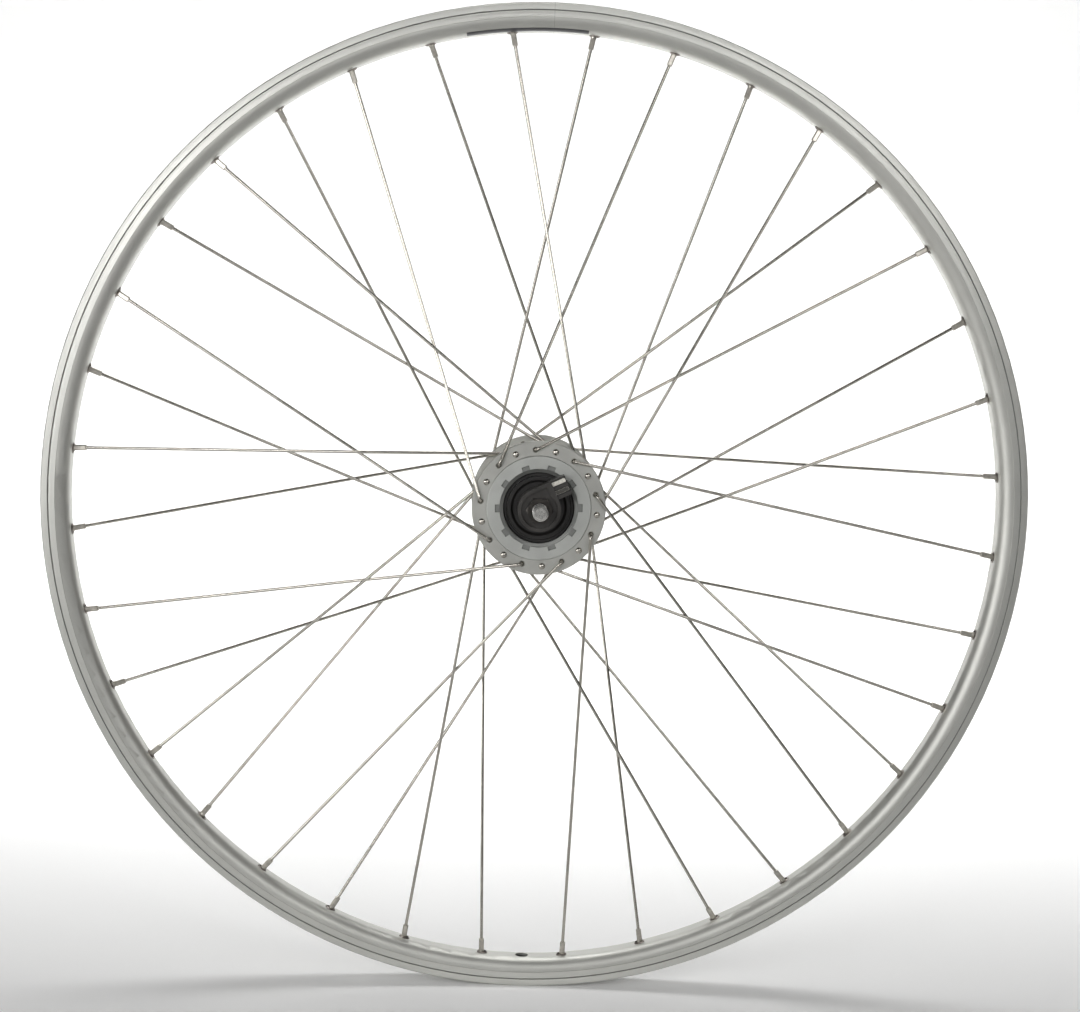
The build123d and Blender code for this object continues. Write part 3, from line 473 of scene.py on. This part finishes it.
@dataclass(frozen=True)
class TurnedAlloy(Finish):
    """Aluminium turned on a lathe and then blasted, with worn edges."""

    ring_pitch: float
    ring_depth: float
    grain_depth: float
    grain: float = 0.18 * MM
    grain_rough: float = 0.06
    cloud: float = 12 * MM
    cloud_rough: float = 0.1
    edge: float = 0.25 * MM
    edge_gloss: float = 0.12
    # corner, sunk and their amounts set where shade and grime are painted darker
    corner: float = 1.6 * MM
    corner_shade_and_grime: float = 0.8
    face: float = 0.0
    sunk: Span = (0.05 * MM, 0.3 * MM)
    sunk_shade_and_grime: float = 0.55
    mouth: float = 28 * MM
    mouth_edge: float = 0.5 * MM
    shade_and_grime_tone: float = 0.15

    def material(self) -> bpy.types.Material:
        """Draws faint rings under a blasted grain, with painted shade and grime in corners and
        below the face.

        Returns:
            The material.
        """
        recipe = Recipe(self.name)
        radius = recipe.radius()
        rings = recipe.lines(radius + recipe.y, self.ring_pitch, Detail.MIDDLE)
        grain = recipe.noise(self.grain, Detail.LOW)
        clouds = recipe.noise(self.cloud, Detail.HIGH)
        worn = recipe.edge(self.edge)
        tone = self.clouded(clouds, rise=(0.3, 0.7), shades=(0.95, 1.04))
        tone = self.tinted(tone, grain.step(0.4, 0.8), amount=0.2, factor=0.8)
        tone = self.tinted(tone, worn, amount=0.6, factor=1.3)
        # painted shade and grime: darker where the piece walls itself in, and on faces sunk below
        # the cap's face inside its mouth
        shade_and_grime = recipe.corner(self.corner).step(0.25, 0.6) * self.corner_shade_and_grime
        if self.face:
            sunk = (self.face - abs(recipe.y)).step(*self.sunk)
            inside = radius.step(self.mouth + self.mouth_edge, self.mouth)
            shade_and_grime = shade_and_grime.larger(sunk * inside * self.sunk_shade_and_grime)
        colour = recipe.mix(shade_and_grime, tone, self.shade(self.shade_and_grime_tone))
        rough = self.roughness + self.cloud_rough * clouds
        rough = rough - self.edge_gloss * worn + self.grain_rough * grain
        blasted = recipe.bump(grain, self.grain_depth, 0.6, recipe.rounded(self.edge))
        turned = recipe.bump(rings, self.ring_depth, 0.7, blasted)
        return recipe.surface(Base_Color=colour, Metallic=1.0, Roughness=rough, Normal=turned)


@dataclass(frozen=True)
class PlatedMetal(Finish):
    """Steel or brass with a plated or ground skin: small clouds, pits and fine marks."""

    cloud: float = 4 * MM
    mark: float = 0.3 * MM
    mark_depth: float = 0.01 * MM
    stain: float = 0.8
    rubbed: float = 0.0
    tarnish: float = 0.12

    def material(self) -> bpy.types.Material:
        """Draws a stained and finely marked skin; where rubbed, only its edges stay bright.

        Returns:
            The material.
        """
        recipe = Recipe(self.name)
        clouds = recipe.noise(self.cloud, Detail.HIGH)
        marks = recipe.noise(self.mark, Detail.MIDDLE)
        tone = self.clouded(clouds, rise=(0.35, 0.7), shades=(self.stain, 1.05))
        if self.rubbed:
            tone = recipe.mix(recipe.edge(self.rubbed), self.shade(self.tarnish), tone)
        colour = self.tinted(tone, marks.step(0.62, 0.75), amount=0.35, factor=0.6)
        rough = self.uneven((clouds, 0.12), (marks, 0.1))
        pitted = recipe.bump(marks, self.mark_depth, strength=0.5)
        return recipe.surface(Base_Color=colour, Metallic=1.0, Roughness=rough, Normal=pitted)


@dataclass(frozen=True)
class ThreadedSteel(Finish):
    """Plated steel with a turned end face, darker and rougher in the valleys of its thread."""

    face: float
    face_edge: Span = (0.05 * MM, 0.02 * MM)
    valley: Span = (4.62 * MM, 4.35 * MM)
    valley_rough: float = 0.2
    ring_pitch: float = 0.35 * MM
    ring_depth: float = 0.035 * MM
    mark: float = 0.25 * MM
    mark_depth: float = 0.01 * MM
    cloud: float = 3 * MM

    def material(self) -> bpy.types.Material:
        """Draws rings on the end faces and a stained skin elsewhere.

        Returns:
            The material.
        """
        recipe = Recipe(self.name)
        radius = recipe.radius()
        end = abs(recipe.y).step(*(self.face - depth for depth in self.face_edge))
        rings = recipe.lines(radius, self.ring_pitch, Detail.LOW)
        marks = recipe.noise(self.mark, Detail.MIDDLE)
        clouds = recipe.noise(self.cloud, Detail.HIGH)
        # darker and rougher towards the roots of the thread, off the end faces
        valley = radius.step(*self.valley) * (1.0 - end)
        tone = self.clouded(clouds, rise=(0.35, 0.7), shades=(0.85, 1.05))
        colour = self.tinted(tone, valley, amount=0.7, factor=0.35)
        rough = self.uneven((clouds, 0.12), (marks, 0.1)) + self.valley_rough * valley
        pitted = recipe.bump(marks, self.mark_depth, strength=0.5)
        turned = recipe.bump(rings * end, self.ring_depth, normal=pitted)
        return recipe.surface(Base_Color=colour, Metallic=1.0, Roughness=rough, Normal=turned)


@dataclass(frozen=True)
class MouldedPlastic(Finish):
    """Moulded plastic or rubber with a spark-eroded grain and paler edges."""

    grain: float = 0.22 * MM
    grain_depth: float = 0.02 * MM
    cloud: float = 9 * MM
    edge: float = 0.3 * MM
    paler: float = 2.2

    def material(self) -> bpy.types.Material:
        """Draws a grained plastic that has paled along its edges.

        Returns:
            The material.
        """
        recipe = Recipe(self.name)
        grain = recipe.noise(self.grain, Detail.LOW)
        clouds = recipe.noise(self.cloud, Detail.HIGH)
        tone = self.clouded(clouds, rise=(0.3, 0.75), shades=(0.85, 1.2))
        paled = recipe.edge(self.edge) * (0.25 + 0.5 * clouds)
        colour = recipe.mix(paled, tone, self.shade(self.paler))
        rough = self.uneven((clouds, 0.15), (grain, 0.1))
        grained = recipe.bump(grain, self.grain_depth, 0.6, recipe.rounded(self.edge))
        return recipe.surface(Base_Color=colour, Roughness=rough, Normal=grained)


@dataclass(frozen=True)
class LayeredStack(Finish):
    """Wire turns or stamped sheets that lie side by side along the axle."""

    pitch: float
    depth: float
    metallic: float
    gap: float = 0.35
    waver: float = 0.3
    cloud: float = 3 * MM

    def material(self) -> bpy.types.Material:
        """Draws ridges across Y, darker between them.

        Returns:
            The material.
        """
        recipe = Recipe(self.name)
        ridges = recipe.node(
            "ShaderNodeTexWave",
            {"wave_type": "BANDS", "bands_direction": "Y", "wave_profile": "SIN"},
            {
                "Vector": recipe.place,
                "Scale": 2.0 * math.pi / (WAVE_RATE * self.pitch),
                "Distortion": self.waver,
                "Detail": 1.0,
            },
        )
        clouds = recipe.noise(self.cloud, Detail.MIDDLE)
        tone = self.clouded(clouds, rise=(0.3, 0.7), shades=(0.85, 1.1))
        colour = recipe.mix(ridges.step(0.45, 0.05), tone, self.shade(self.gap))
        return recipe.surface(
            Base_Color=colour,
            Metallic=self.metallic,
            Roughness=self.uneven((clouds, 0.15)),
            Normal=recipe.bump(ridges, self.depth),
        )


@dataclass(frozen=True)
class StudioPaper(Finish):
    """Matt white paper of the sweep, which glows a little from the wheel backwards."""

    tooth: float = 1.5 * MM
    tooth_depth: float = 0.05 * MM
    cloud: float = 0.4
    glow: float = 0.22
    glow_start: float = -0.25
    glow_end: float = 0.45

    def material(self) -> bpy.types.Material:
        """Draws a paper with a faint tooth.

        Returns:
            The material.
        """
        recipe = Recipe(self.name)
        tooth = recipe.noise(self.tooth, Detail.LOW)
        clouds = recipe.noise(self.cloud, Detail.LOW)
        behind = recipe.y.step(self.glow_start, self.glow_end)
        return recipe.surface(
            Base_Color=recipe.mix(clouds, self.shade(0.99), self.colour),
            Roughness=self.roughness,
            Normal=recipe.bump(tooth, self.tooth_depth, strength=0.2),
            Emission_Color=recipe.mix(behind, BLACK, self.shade(self.glow)),
            Emission_Strength=1.0,
        )


class Bench:
    """Modelling steps that the new pieces share."""

    @staticmethod
    def clear() -> None:
        """Leaves edit mode and deselects everything."""
        if bpy.context.object and bpy.context.object.mode != "OBJECT":
            bpy.ops.object.mode_set(mode="OBJECT")
        bpy.ops.object.select_all(action="DESELECT")

    @staticmethod
    def take(piece: bpy.types.Object) -> None:
        """Selects one piece and makes it active.

        Args:
            piece: the piece to take.
        """
        Bench.clear()
        piece.select_set(True)
        bpy.context.view_layer.objects.active = piece

    @staticmethod
    @contextmanager
    def edit(piece: bpy.types.Object) -> Iterator[None]:
        """Opens a piece in edit mode with all of it selected, and closes it again.

        Args:
            piece: the piece to open.

        Yields:
            Nothing; the piece is open meanwhile.
        """
        Bench.take(piece)
        bpy.ops.object.mode_set(mode="EDIT")
        bpy.ops.mesh.select_all(action="SELECT")
        yield
        bpy.ops.object.mode_set(mode="OBJECT")

    @staticmethod
    def profile(name: str, points: Sequence[Point]) -> bpy.types.Object:
        """Draws an open line of edges, by shrinking a plane to a point and pulling it along.

        Args:
            name: the piece's name.
            points: the line's points.

        Returns:
            The piece that holds the line.
        """
        Bench.clear()
        bpy.ops.mesh.primitive_plane_add(size=MM, location=ORIGIN)
        piece = bpy.context.object
        piece.name = piece.data.name = name
        with Bench.edit(piece):
            bpy.ops.mesh.merge(type="CENTER")
            bpy.ops.transform.translate(value=points[0])
            for start, end in zip(points, points[1:]):
                move = Vector(end) - Vector(start)
                bpy.ops.mesh.extrude_vertices_move(TRANSFORM_OT_translate={"value": move})
        return piece

    @staticmethod
    def modify(piece: bpy.types.Object, kind: str, **settings: Any) -> None:
        """Adds a modifier and applies it.

        Args:
            piece: the piece to change.
            kind: the modifier's type.
            settings: its properties.
        """
        Bench.take(piece)
        modifier = piece.modifiers.new(kind.lower(), kind)
        for name, value in settings.items():
            setattr(modifier, name, value)
        bpy.ops.object.modifier_apply(modifier=modifier.name)

    @staticmethod
    def close(piece: bpy.types.Object) -> None:
        """Merges a piece's doubled points and turns its faces outwards.

        Args:
            piece: the piece to close.
        """
        with Bench.edit(piece):
            bpy.ops.mesh.remove_doubles(threshold=WELD)
            bpy.ops.mesh.normals_make_consistent(inside=False)

    @staticmethod
    def cut(piece: bpy.types.Object, place: float, direction: int) -> None:
        """Cuts a piece off square to the axle and closes the cut.

        Args:
            piece: the piece to cut.
            place: the cut's place along Y.
            direction: 1 to drop what lies beyond the cut, -1 to drop what lies before it.
        """
        with Bench.edit(piece):
            bpy.ops.mesh.bisect(
                plane_co=(0.0, place, 0.0),
                plane_no=(0.0, float(direction), 0.0),
                use_fill=True,
                clear_outer=True,
                threshold=SNAP,
            )

    @staticmethod
    def turn(
        name: str, line: Sequence[Span], steps: int, rise: float = 0.0, turns: int = 1
    ) -> bpy.types.Object:
        """Turns a line of points round the axle.

        Args:
            name: the piece's name.
            line: each point's distance from the axle's middle line and its place along Y.
            steps: how many straight parts one turn has.
            rise: how far along Y each turn climbs, for a thread.
            turns: how many turns to make.

        Returns:
            The turned piece.
        """
        piece = Bench.profile(name, [(radius, place, 0.0) for radius, place in line])
        Bench.modify(
            piece,
            "SCREW",
            axis="Y",
            angle=2.0 * math.pi,
            screw_offset=rise,
            iterations=turns,
            steps=steps,
            render_steps=steps,
            use_merge_vertices=True,
            merge_threshold=SNAP,
        )
        Bench.close(piece)
        return piece

    @staticmethod
    def combine(piece: bpy.types.Object, other: bpy.types.Object, join: Join) -> None:
        """Adds another piece to a piece, or keeps what both share, and removes the other.

        Args:
            piece: the piece to change.
            other: the piece that is used up.
            join: which of the two to do.
        """
        Bench.modify(piece, "BOOLEAN", operation=join.value, solver="EXACT", object=other)
        bpy.data.objects.remove(other)

    @staticmethod
    def smooth(piece: bpy.types.Object, degrees: float) -> None:
        """Shades a piece smooth except at edges sharper than an angle."""
        Bench.take(piece)
        bpy.ops.object.shade_smooth_by_angle(angle=math.radians(degrees))


class Paintshop:
    """Gives pieces their finishes, and makes the material of each finish once."""

    def __init__(self) -> None:
        """Starts with no materials."""
        self.made: dict[str, bpy.types.Material] = {}

    def paint(self, piece: bpy.types.Object, finish: Finish) -> None:
        """Gives a piece its finish.

        Args:
            piece: the piece.
            finish: what it is finished with.
        """
        if finish.name not in self.made:
            self.made[finish.name] = finish.material()
        piece.data.materials.clear()
        piece.data.materials.append(self.made[finish.name])
        log.info("%s: %s", piece.name, finish.name)

    def dress(self, node: str, finish: Finish) -> None:
        """Gives a CAD node its finish."""
        self.paint(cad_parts[node], finish)


def seat(piece: bpy.types.Object, body: Body) -> None:
    """Lets a new piece ride on a body.

    Args:
        piece: the piece, in its place.
        body: what it moves with.
    """
    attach(piece, body.value)


@dataclass
class Rim:
    """The rim, the eyelets in its bed and a plain dark strip stuck beside them at the top."""

    arc_centre: float = 307.653 * MM
    arc_level: float = 3.847 * MM
    arc_radius: float = 7.954 * MM
    groove: float = 312.3 * MM
    strip_angles: Span = (85.8, 100.5)
    strip_turn: Span = (4.0, 39.0)
    strip_thickness: float = 0.08 * MM
    strip_lift: float = 0.6
    strip_rows: int = 10
    strip_steps: int = 48
    smooth_angle: float = 35.0

    def build(self) -> bpy.types.Object:
        """Lays the strip on the front corner between the bed and the curved face.

        Returns:
            The strip.
        """
        first, last = (math.radians(angle) for angle in self.strip_angles)
        lowest, highest = (math.radians(angle) for angle in self.strip_turn)
        reach = self.arc_radius + self.strip_lift * self.strip_thickness
        line = []
        for row in range(self.strip_rows + 1):
            turn = lowest + (highest - lowest) * row / self.strip_rows
            radius = self.arc_centre - reach * math.cos(turn)
            level = Side.RIGHT.value * (self.arc_level + reach * math.sin(turn))
            line.append((radius * math.cos(first), level, radius * math.sin(first)))
        strip = Bench.profile("rim_strip", line)
        with Bench.edit(strip):
            bpy.ops.mesh.spin(
                steps=self.strip_steps, angle=last - first, center=ORIGIN, axis=AXLE_LINE
            )
        Bench.modify(strip, "SOLIDIFY", thickness=self.strip_thickness, offset=0.0)
        Bench.close(strip)
        Bench.smooth(strip, self.smooth_angle)
        seat(strip, Body.WHEEL)
        return strip

    def dress(self, shop: Paintshop) -> None:
        """Finishes the rim, its eyelets and the strip.

        Args:
            shop: where the finishes come from.
        """
        alloy = RimAlloy(
            "rim_anodised",
            (0.60, 0.60, 0.566),
            0.44,
            track_level=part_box("rim")[1].y,
            groove=self.groove,
        )
        plating = PlatedMetal("eyelet_plating", (0.36, 0.33, 0.30), 0.34, stain=0.7)
        film = MouldedPlastic("strip_film", (0.045, 0.045, 0.048), 0.32, edge=0.1 * MM)
        shop.dress("rim", alloy)
        shop.dress("eyelets", plating)
        shop.paint(self.build(), film)


@dataclass
class Lacing:
    """Thirty-six spokes in four sets, with their nipples."""

    rows: tuple[str, ...] = ("inner", "outer")

    def dress(self, shop: Paintshop) -> None:
        """Finishes the spokes and nipples.

        Args:
            shop: where the finishes come from.
        """
        wire = PlatedMetal(
            "spoke_wire",
            (0.54, 0.515, 0.464),
            0.22,
            cloud=14 * MM,
            mark=0.5 * MM,
            stain=0.85,
        )
        plating = PlatedMetal("nipple_plating", (0.67, 0.635, 0.57), 0.34, cloud=3 * MM)
        for side in Side:
            for row in self.rows:
                shop.dress(f"{side.label}_{row}_spokes", wire)
        shop.dress("nipples", plating)


@dataclass
class Hub:
    """The hub shell with its end cap and what is pressed into them."""

    def dress(self, shop: Paintshop) -> None:
        """Finishes the shell, the cap, the magnets and the bearing seats.

        Args:
            shop: where the finishes come from.
        """
        shell = TurnedAlloy(
            "hub_anodised",
            (0.545, 0.545, 0.512),
            0.40,
            ring_pitch=0.5 * MM,
            ring_depth=0.02 * MM,
            grain_depth=0.02 * MM,
        )
        cap = TurnedAlloy(
            "cap_anodised",
            (0.545, 0.555, 0.53),
            0.46,
            ring_pitch=0.9 * MM,
            ring_depth=0.006 * MM,
            grain_depth=0.03 * MM,
            face=-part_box("end_cap")[0].y,
        )
        sinter = PlatedMetal("magnet_sinter", (0.10, 0.10, 0.10), 0.72, cloud=2 * MM, stain=0.6)
        race = PlatedMetal("bearing_ground", (0.62, 0.62, 0.61), 0.22)
        rubber = MouldedPlastic("seal_moulding", (0.018, 0.017, 0.016), 0.55)
        shop.dress("hub_shell", shell)
        shop.dress("end_cap", cap)
        shop.dress("flux_ring", PlatedMetal("ring_steel", (0.55, 0.55, 0.54), 0.38))
        shop.dress("magnets", sinter)
        for side in Side:
            shop.dress(f"{side.label}_cup", race)
            shop.dress(f"{side.label}_seal", rubber)


@dataclass
class Spindle:
    """The axle, threaded at both ends, and all that is screwed on it."""

    thread_start: float = 49.95 * MM
    plain_end: float = 50.02 * MM
    crest: float = 4.75 * MM
    root: float = 4.28 * MM
    pitch: float = 1.0 * MM
    flat: float = 0.125
    spare_turns: int = 4
    chamfer: float = 1.2 * MM
    steps: int = 48
    blank_steps: int = 90
    smooth_angle: float = 25.0

    def build(self) -> bpy.types.Object:
        """Cuts a thread on both free ends of the axle.

        Returns:
            The threaded axle.
        """
        axle = bpy.data.objects.new("threaded_axle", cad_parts["axle"].data.copy())
        axle.data.name = axle.name
        bpy.context.scene.collection.objects.link(axle)
        Bench.take(axle)
        bpy.ops.mesh.customdata_custom_splitnormals_clear()
        Bench.close(axle)
        for side in Side:
            Bench.cut(axle, side.value * self.plain_end, side.value)
            Bench.combine(axle, self.thread(side), Join.BOTH)
        Bench.close(axle)
        Bench.smooth(axle, self.smooth_angle)
        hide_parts("axle")
        seat(axle, Body.AXLE)
        return axle

    def thread(self, side: Side) -> bpy.types.Object:
        """Makes one threaded end with its chamfer.

        Args:
            side: which end of the axle.

        Returns:
            The end, still apart from the axle.
        """
        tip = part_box("axle")[1].y
        turns = math.ceil((tip - self.thread_start) / self.pitch) + self.spare_turns
        lowest = side.value * (tip + self.thread_start) / 2.0 - turns * self.pitch / 2.0
        flat = self.flat * self.pitch
        ridge = (
            (self.crest, 0.0),
            (self.crest, flat),
            (self.root, self.pitch / 2.0),
            (self.root, self.pitch / 2.0 + flat),
            (self.crest, self.pitch),
        )
        line = [(radius, lowest + place) for radius, place in ridge]
        end = Bench.turn(f"{side.label}_thread", line, self.steps, self.pitch, turns)
        Bench.cut(end, side.value * self.thread_start, -side.value)
        Bench.cut(end, side.value * tip, side.value)
        Bench.close(end)
        Bench.combine(end, self.blank(side, tip), Join.SHARED)
        return end

    def blank(self, side: Side, tip: float) -> bpy.types.Object:
        """Makes a rod with a chamfered end, which trims the thread.

        Args:
            side: which end of the axle.
            tip: the end's distance from the wheel's middle.

        Returns:
            The rod, wider than the thread but for the chamfer.
        """
        narrow = self.crest - self.chamfer
        wide = self.crest + self.chamfer
        inner = self.thread_start - self.pitch
        half = self.chamfer / 2.0
        outline = (
            (0.0, tip + half),
            (narrow - half, tip + half),
            (narrow, tip),
            (self.crest, tip - self.chamfer),
            (wide, tip - 2.0 * self.chamfer),
            (wide, inner),
            (0.0, inner),
        )
        line = [(radius, side.value * place) for radius, place in outline]
        return Bench.turn("blank", line, self.blank_steps)

    def dress(self, shop: Paintshop) -> None:
        """Finishes the axle, its nuts, cones and covers.

        Args:
            shop: where the finishes come from.
        """
        plating = ThreadedSteel(
            "axle_plating", (0.92, 0.905, 0.87), 0.28, face=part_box("axle")[1].y
        )
        shop.paint(self.build(), plating)
        shop.dress("left_spacer", PlatedMetal("spacer_steel", (0.6, 0.59, 0.57), 0.3))
        black = PlatedMetal("black_oxide", (0.075, 0.07, 0.065), 0.42, cloud=2 * MM)
        finishes = {
            "cone": PlatedMetal("bearing_ground", (0.62, 0.62, 0.61), 0.22),
            "locknut": black,
            "clamp_nut": black,
            "dust_cover": MouldedPlastic("cover_moulding", (0.016, 0.015, 0.014), 0.42),
            "balls": PlatedMetal("ball_steel", (0.78, 0.78, 0.78), 0.06, mark_depth=0.002 * MM),
            "ball_cage": PlatedMetal("cage_steel", (0.55, 0.50, 0.40), 0.32),
        }
        for side in Side:
            for name, finish in finishes.items():
                shop.dress(f"{side.label}_{name}", finish)


@dataclass
class Generator:
    """The fixed half of the dynamo, with its connector."""

    iron_parts: tuple[str, ...] = ("stator_core", "right_yoke", "left_yoke")

    def dress(self, shop: Paintshop) -> None:
        """Finishes the windings, the iron round them and the connector.

        Args:
            shop: where the finishes come from.
        """
        iron = LayeredStack(
            "iron_sheets",
            (0.30, 0.29, 0.28),
            0.45,
            pitch=0.5 * MM,
            depth=0.05 * MM,
            metallic=1.0,
        )
        copper = LayeredStack(
            "copper_turns",
            (0.62, 0.26, 0.09),
            0.26,
            pitch=0.7 * MM,
            depth=0.2 * MM,
            metallic=0.85,
        )
        bobbin = MouldedPlastic("bobbin_moulding", (0.55, 0.52, 0.45), 0.45, paler=1.1)
        tin: Colour = (0.94, 0.91, 0.83)
        bright = PlatedMetal("tab_tinning", tin, 0.50, cloud=1 * MM)
        dull = PlatedMetal("tab_tarnish", tin, 0.50, cloud=1 * MM, rubbed=0.5 * MM)
        for name in self.iron_parts:
            shop.dress(name, iron)
        shop.dress("coil", copper)
        shop.dress("bobbin", bobbin)
        shop.dress("lead_wire", MouldedPlastic("lead_sleeve", (0.02, 0.02, 0.02), 0.4))
        shop.dress(
            "connector", MouldedPlastic("connector_moulding", (0.042, 0.039, 0.036), 0.45)
        )
        shop.dress("live_terminal", bright)
        shop.dress("ground_terminal", dull)


@dataclass
class Softbox:
    """A rectangular soft light, in watts and degrees of spread."""

    name: str
    place: Point
    aim: Point
    size: Span
    power: float
    spread: float

    def build(self) -> None:
        """Adds the light."""
        light = bpy.data.lights.new(self.name, "AREA")
        light.shape = "RECTANGLE"
        light.size, light.size_y = self.size
        light.energy, light.spread = self.power, math.radians(self.spread)
        lamp = bpy.data.objects.new(self.name, light)
        bpy.context.scene.collection.objects.link(lamp)
        lamp.location = self.place
        away = Vector(self.place) - Vector(self.aim)
        lamp.rotation_euler = away.to_track_quat("Z", "Y").to_euler()


SMALL_BOX: Span = (0.55, 0.55)
SIDE_BOX: Span = (0.7, 0.7)
SWEEP_BOX: Span = (1.0, 1.0)
SOFTBOXES = (
    Softbox("key_softbox", (-0.74, -1.6, 0.45), ORIGIN, SMALL_BOX, 1.35, 80.0),
    Softbox("fill_softbox", (0.62, -1.6, 0.66), ORIGIN, SMALL_BOX, 0.84, 75.0),
    Softbox("side_softbox_left", (-1.45, -1.05, 0.08), ORIGIN, SIDE_BOX, 1.75, 80.0),
    Softbox("side_softbox_right", (1.25, -1.05, 0.8), ORIGIN, SIDE_BOX, 0.45, 80.0),
    Softbox("sweep_light_left", (-1.9, 0.7, 1.2), (0.4, 2.2, 0.1), SWEEP_BOX, 4.5, 80.0),
    Softbox("sweep_light_right", (1.9, 0.7, 1.2), (-0.4, 2.2, 0.1), SWEEP_BOX, 5.0, 80.0),
    Softbox("floor_light", (0.0, 1.15, 1.9), (0.0, 1.15, -0.3), (2.6, 1.4), 16.0, 70.0),
    Softbox("front_floor_light", (0.0, -1.9, 1.9), (0.0, -1.9, -0.3), (3.2, 1.2), 6.0, 70.0),
)


@dataclass
class Studio:
    """The white sweep, the lights and the camera."""

    sweep_front: float = -2.6
    sweep_back: float = 2.2
    sweep_width: float = 6.0
    sweep_height: float = 2.6
    sweep_curve: float = 0.9
    sweep_steps: int = 12
    smooth_angle: float = 40.0
    camera_place: Point = (-0.047783, -1.391885, 0.134433)
    camera_yaw: float = 2.043
    camera_pitch: float = -5.586
    camera_roll: float = 2.004
    lens: float = 72.104
    sensor: float = 36.0
    clip: Span = (0.01, 50.0)
    ambient: float = 0.08
    pale: float = 0.7

    def build(self) -> None:
        """Adds the sweep, the lights, the room and the camera."""
        self.add_sweep()
        for box in SOFTBOXES:
            box.build()
        self.add_room()
        self.add_camera()

    def add_sweep(self) -> None:
        """Bends a sheet of paper from the floor up behind the wheel."""
        floor = CAD_BOX[0][2]
        left = -self.sweep_width / 2
        back = self.sweep_back - self.sweep_curve
        line = [(left, self.sweep_front, floor)]
        for step in range(self.sweep_steps + 1):
            angle = math.radians(90.0 * step / self.sweep_steps)
            out = self.sweep_curve * math.sin(angle)
            up = self.sweep_curve * (1.0 - math.cos(angle))
            line.append((left, back + out, floor + up))
        line.append((left, self.sweep_back, floor + self.sweep_height))
        sweep = Bench.profile("sweep", line)
        across = (self.sweep_width, 0.0, 0.0)
        with Bench.edit(sweep):
            bpy.ops.mesh.extrude_edges_move(TRANSFORM_OT_translate={"value": across})
            bpy.ops.mesh.select_all(action="SELECT")
            bpy.ops.mesh.normals_make_consistent(inside=False)
        Bench.smooth(sweep, self.smooth_angle)
        paper = StudioPaper("studio_paper", (0.92, 0.92, 0.915), 0.9)
        sweep.data.materials.append(paper.material())

    def add_room(self) -> None:
        """Adds a dim room, which looks pale where no paper is in view."""
        world = bpy.data.worlds.new("room")
        world.use_nodes = True
        nodes, links = world.node_tree.nodes, world.node_tree.links
        sight = nodes.new("ShaderNodeLightPath").outputs["Is Camera Ray"]
        level = nodes.new("ShaderNodeMapRange")
        level.inputs["To Min"].default_value = self.ambient
        level.inputs["To Max"].default_value = self.pale
        links.new(sight, level.inputs["Value"])
        background = nodes["Background"]
        background.inputs["Color"].default_value = (1.0, 1.0, 1.0, 1.0)
        links.new(level.outputs["Result"], background.inputs["Strength"])
        bpy.context.scene.world = world
        bpy.context.scene.view_settings.view_transform = "Standard"

    def add_camera(self) -> None:
        """Adds the camera at the photograph's viewing place."""
        camera = bpy.data.cameras.new("camera")
        camera.sensor_fit = "HORIZONTAL"
        camera.lens, camera.sensor_width = self.lens, self.sensor
        camera.clip_start, camera.clip_end = self.clip
        stand = bpy.data.objects.new("camera", camera)
        bpy.context.scene.collection.objects.link(stand)
        turns = (
            (-self.camera_yaw, "Z"),
            (90.0, "X"),
            (self.camera_pitch, "X"),
            (self.camera_roll, "Z"),
        )
        pose = Matrix.Translation(self.camera_place)
        for degrees, axis in turns:
            pose = pose @ Matrix.Rotation(math.radians(degrees), 4, axis)
        stand.matrix_world = pose
        bpy.context.scene.camera = stand


def main() -> None:
    """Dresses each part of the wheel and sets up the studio."""
    logging.basicConfig(level=logging.INFO, format="%(name)s %(message)s")
    shop = Paintshop()
    for part in (Rim(), Lacing(), Hub(), Spindle(), Generator()):
        part.dress(shop)
    Studio().build()


if __name__ == "__main__":
    main()
